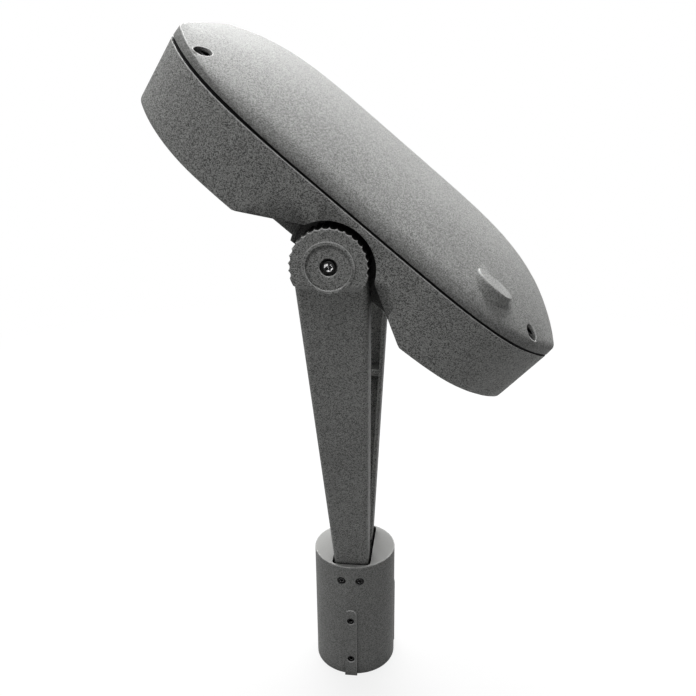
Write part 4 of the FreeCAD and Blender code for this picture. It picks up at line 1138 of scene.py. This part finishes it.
def chip_part():
    """One light chip: a square package with a low round window."""
    package = [[own_place(a * half, b * half, level) for a, b in SQUARE]
               for half, level in ((CHIP_HALF, 0.0), (CHIP_HALF, CHIP_RISE - CHIP_EDGE),
                                   (CHIP_HALF - CHIP_EDGE, CHIP_RISE))]
    window = [(CHIP_WINDOW, CHIP_EDGE), (CHIP_WINDOW, CHIP_RISE)]
    for step in range(1, CHIP_CROWN_STEPS):
        turn = QUARTER_TURN * step / CHIP_CROWN_STEPS
        window.append((CHIP_WINDOW * math.cos(turn), CHIP_RISE + CHIP_CROWN * math.sin(turn)))
    return joined_mesh("chip", [capped_body("package", package),
                                turned_solid("window", window, own_place, CHIP_STEPS)])


def lens_part():
    """One clear dome, sunk a little in its plate."""
    profile = [(LENS_RADIUS, -LENS_SUNK), (LENS_RADIUS, 0.0)]
    for step in range(1, LENS_CROWN_STEPS):
        turn = QUARTER_TURN * step / LENS_CROWN_STEPS
        profile.append((LENS_RADIUS * math.cos(turn) ** LENS_FULLNESS, LENS_RISE * math.sin(turn)))
    return turned_solid("dome", profile, own_place, LENS_STEPS)


def light_windows():
    """Chips and domed lens plates of the two windows in the underside."""
    for label, middle in WINDOW_MIDDLES:
        spots = [(middle + LENS_ROW_PITCH * row, LENS_COLUMN_PITCH * column)
                 for row in LENS_ROWS for column in LENS_COLUMNS]
        places = [head_place(u, y, BOARD_FACE, False) for u, y in spots]
        dressed_set(label + "_chip_set", chip_part(), places, "head", label + "_led_chips", spin=0.0)
        places = [head_place(u, y, LENS_FACE, False) for u, y in spots]
        domes = repeated(label + "_domes", lens_part(), places, finishes["clear_lens"], 0.0)
        plate = linked(label + "_lens", merged_copy(label + "_lens", label + "_lens_plate"))
        slab = [[in_world(middle + SLAB_HALF_LENGTH * a, SLAB_HALF_WIDTH * b, level) for a, b in SQUARE]
                for level in (LENS_FACE, SLAB_TOP)]
        cut_by(plate, linked("slab", capped_body("slab", slab)), "INTERSECT")
        cut_by(plate, domes, "UNION")
        dressed(plate, "head", finishes["clear_lens"], label + "_lens_plate")


# Nodes whose own shape is right, by the body that they move with
PLAIN_CASTS = {
    "fork": ("wire_grommet",),
    "head": ("front_pivot_washer", "rear_pivot_washer", "cover_gasket", "upper_lens_gasket",
             "lower_lens_gasket", "upper_led_board", "lower_led_board", "driver_bracket", "led_driver",
             "bracket_screws", "surge_protector", "terminal_block", "cable_gland", "gland_nut",
             "breather_vent")}

make_camera()
make_world()
make_floor()
for light in LIGHTS:
    area_light(*light)
finishes = make_materials()
slots = {part["node"]: part["material_slot"] for part in frame["record"]["subparts"]}
for node_name, slot_name in slots.items():
    node_mesh = frame["nodes"][node_name].data
    node_mesh.materials.clear()
    node_mesh.materials.append(finishes[slot_name])

casting("collar_casting", "pole_collar", "fork")
casting("near_arm_casting", "front_arm", "fork")
casting("far_arm_casting", "rear_arm", "fork")
make_skirt()
make_lid()
screw_sets()
light_windows()
for body_name, node_names in PLAIN_CASTS.items():
    for node_name in node_names:
        casting(node_name + "_shape", node_name, body_name)

bpy.context.scene.view_settings.view_transform = "Standard"
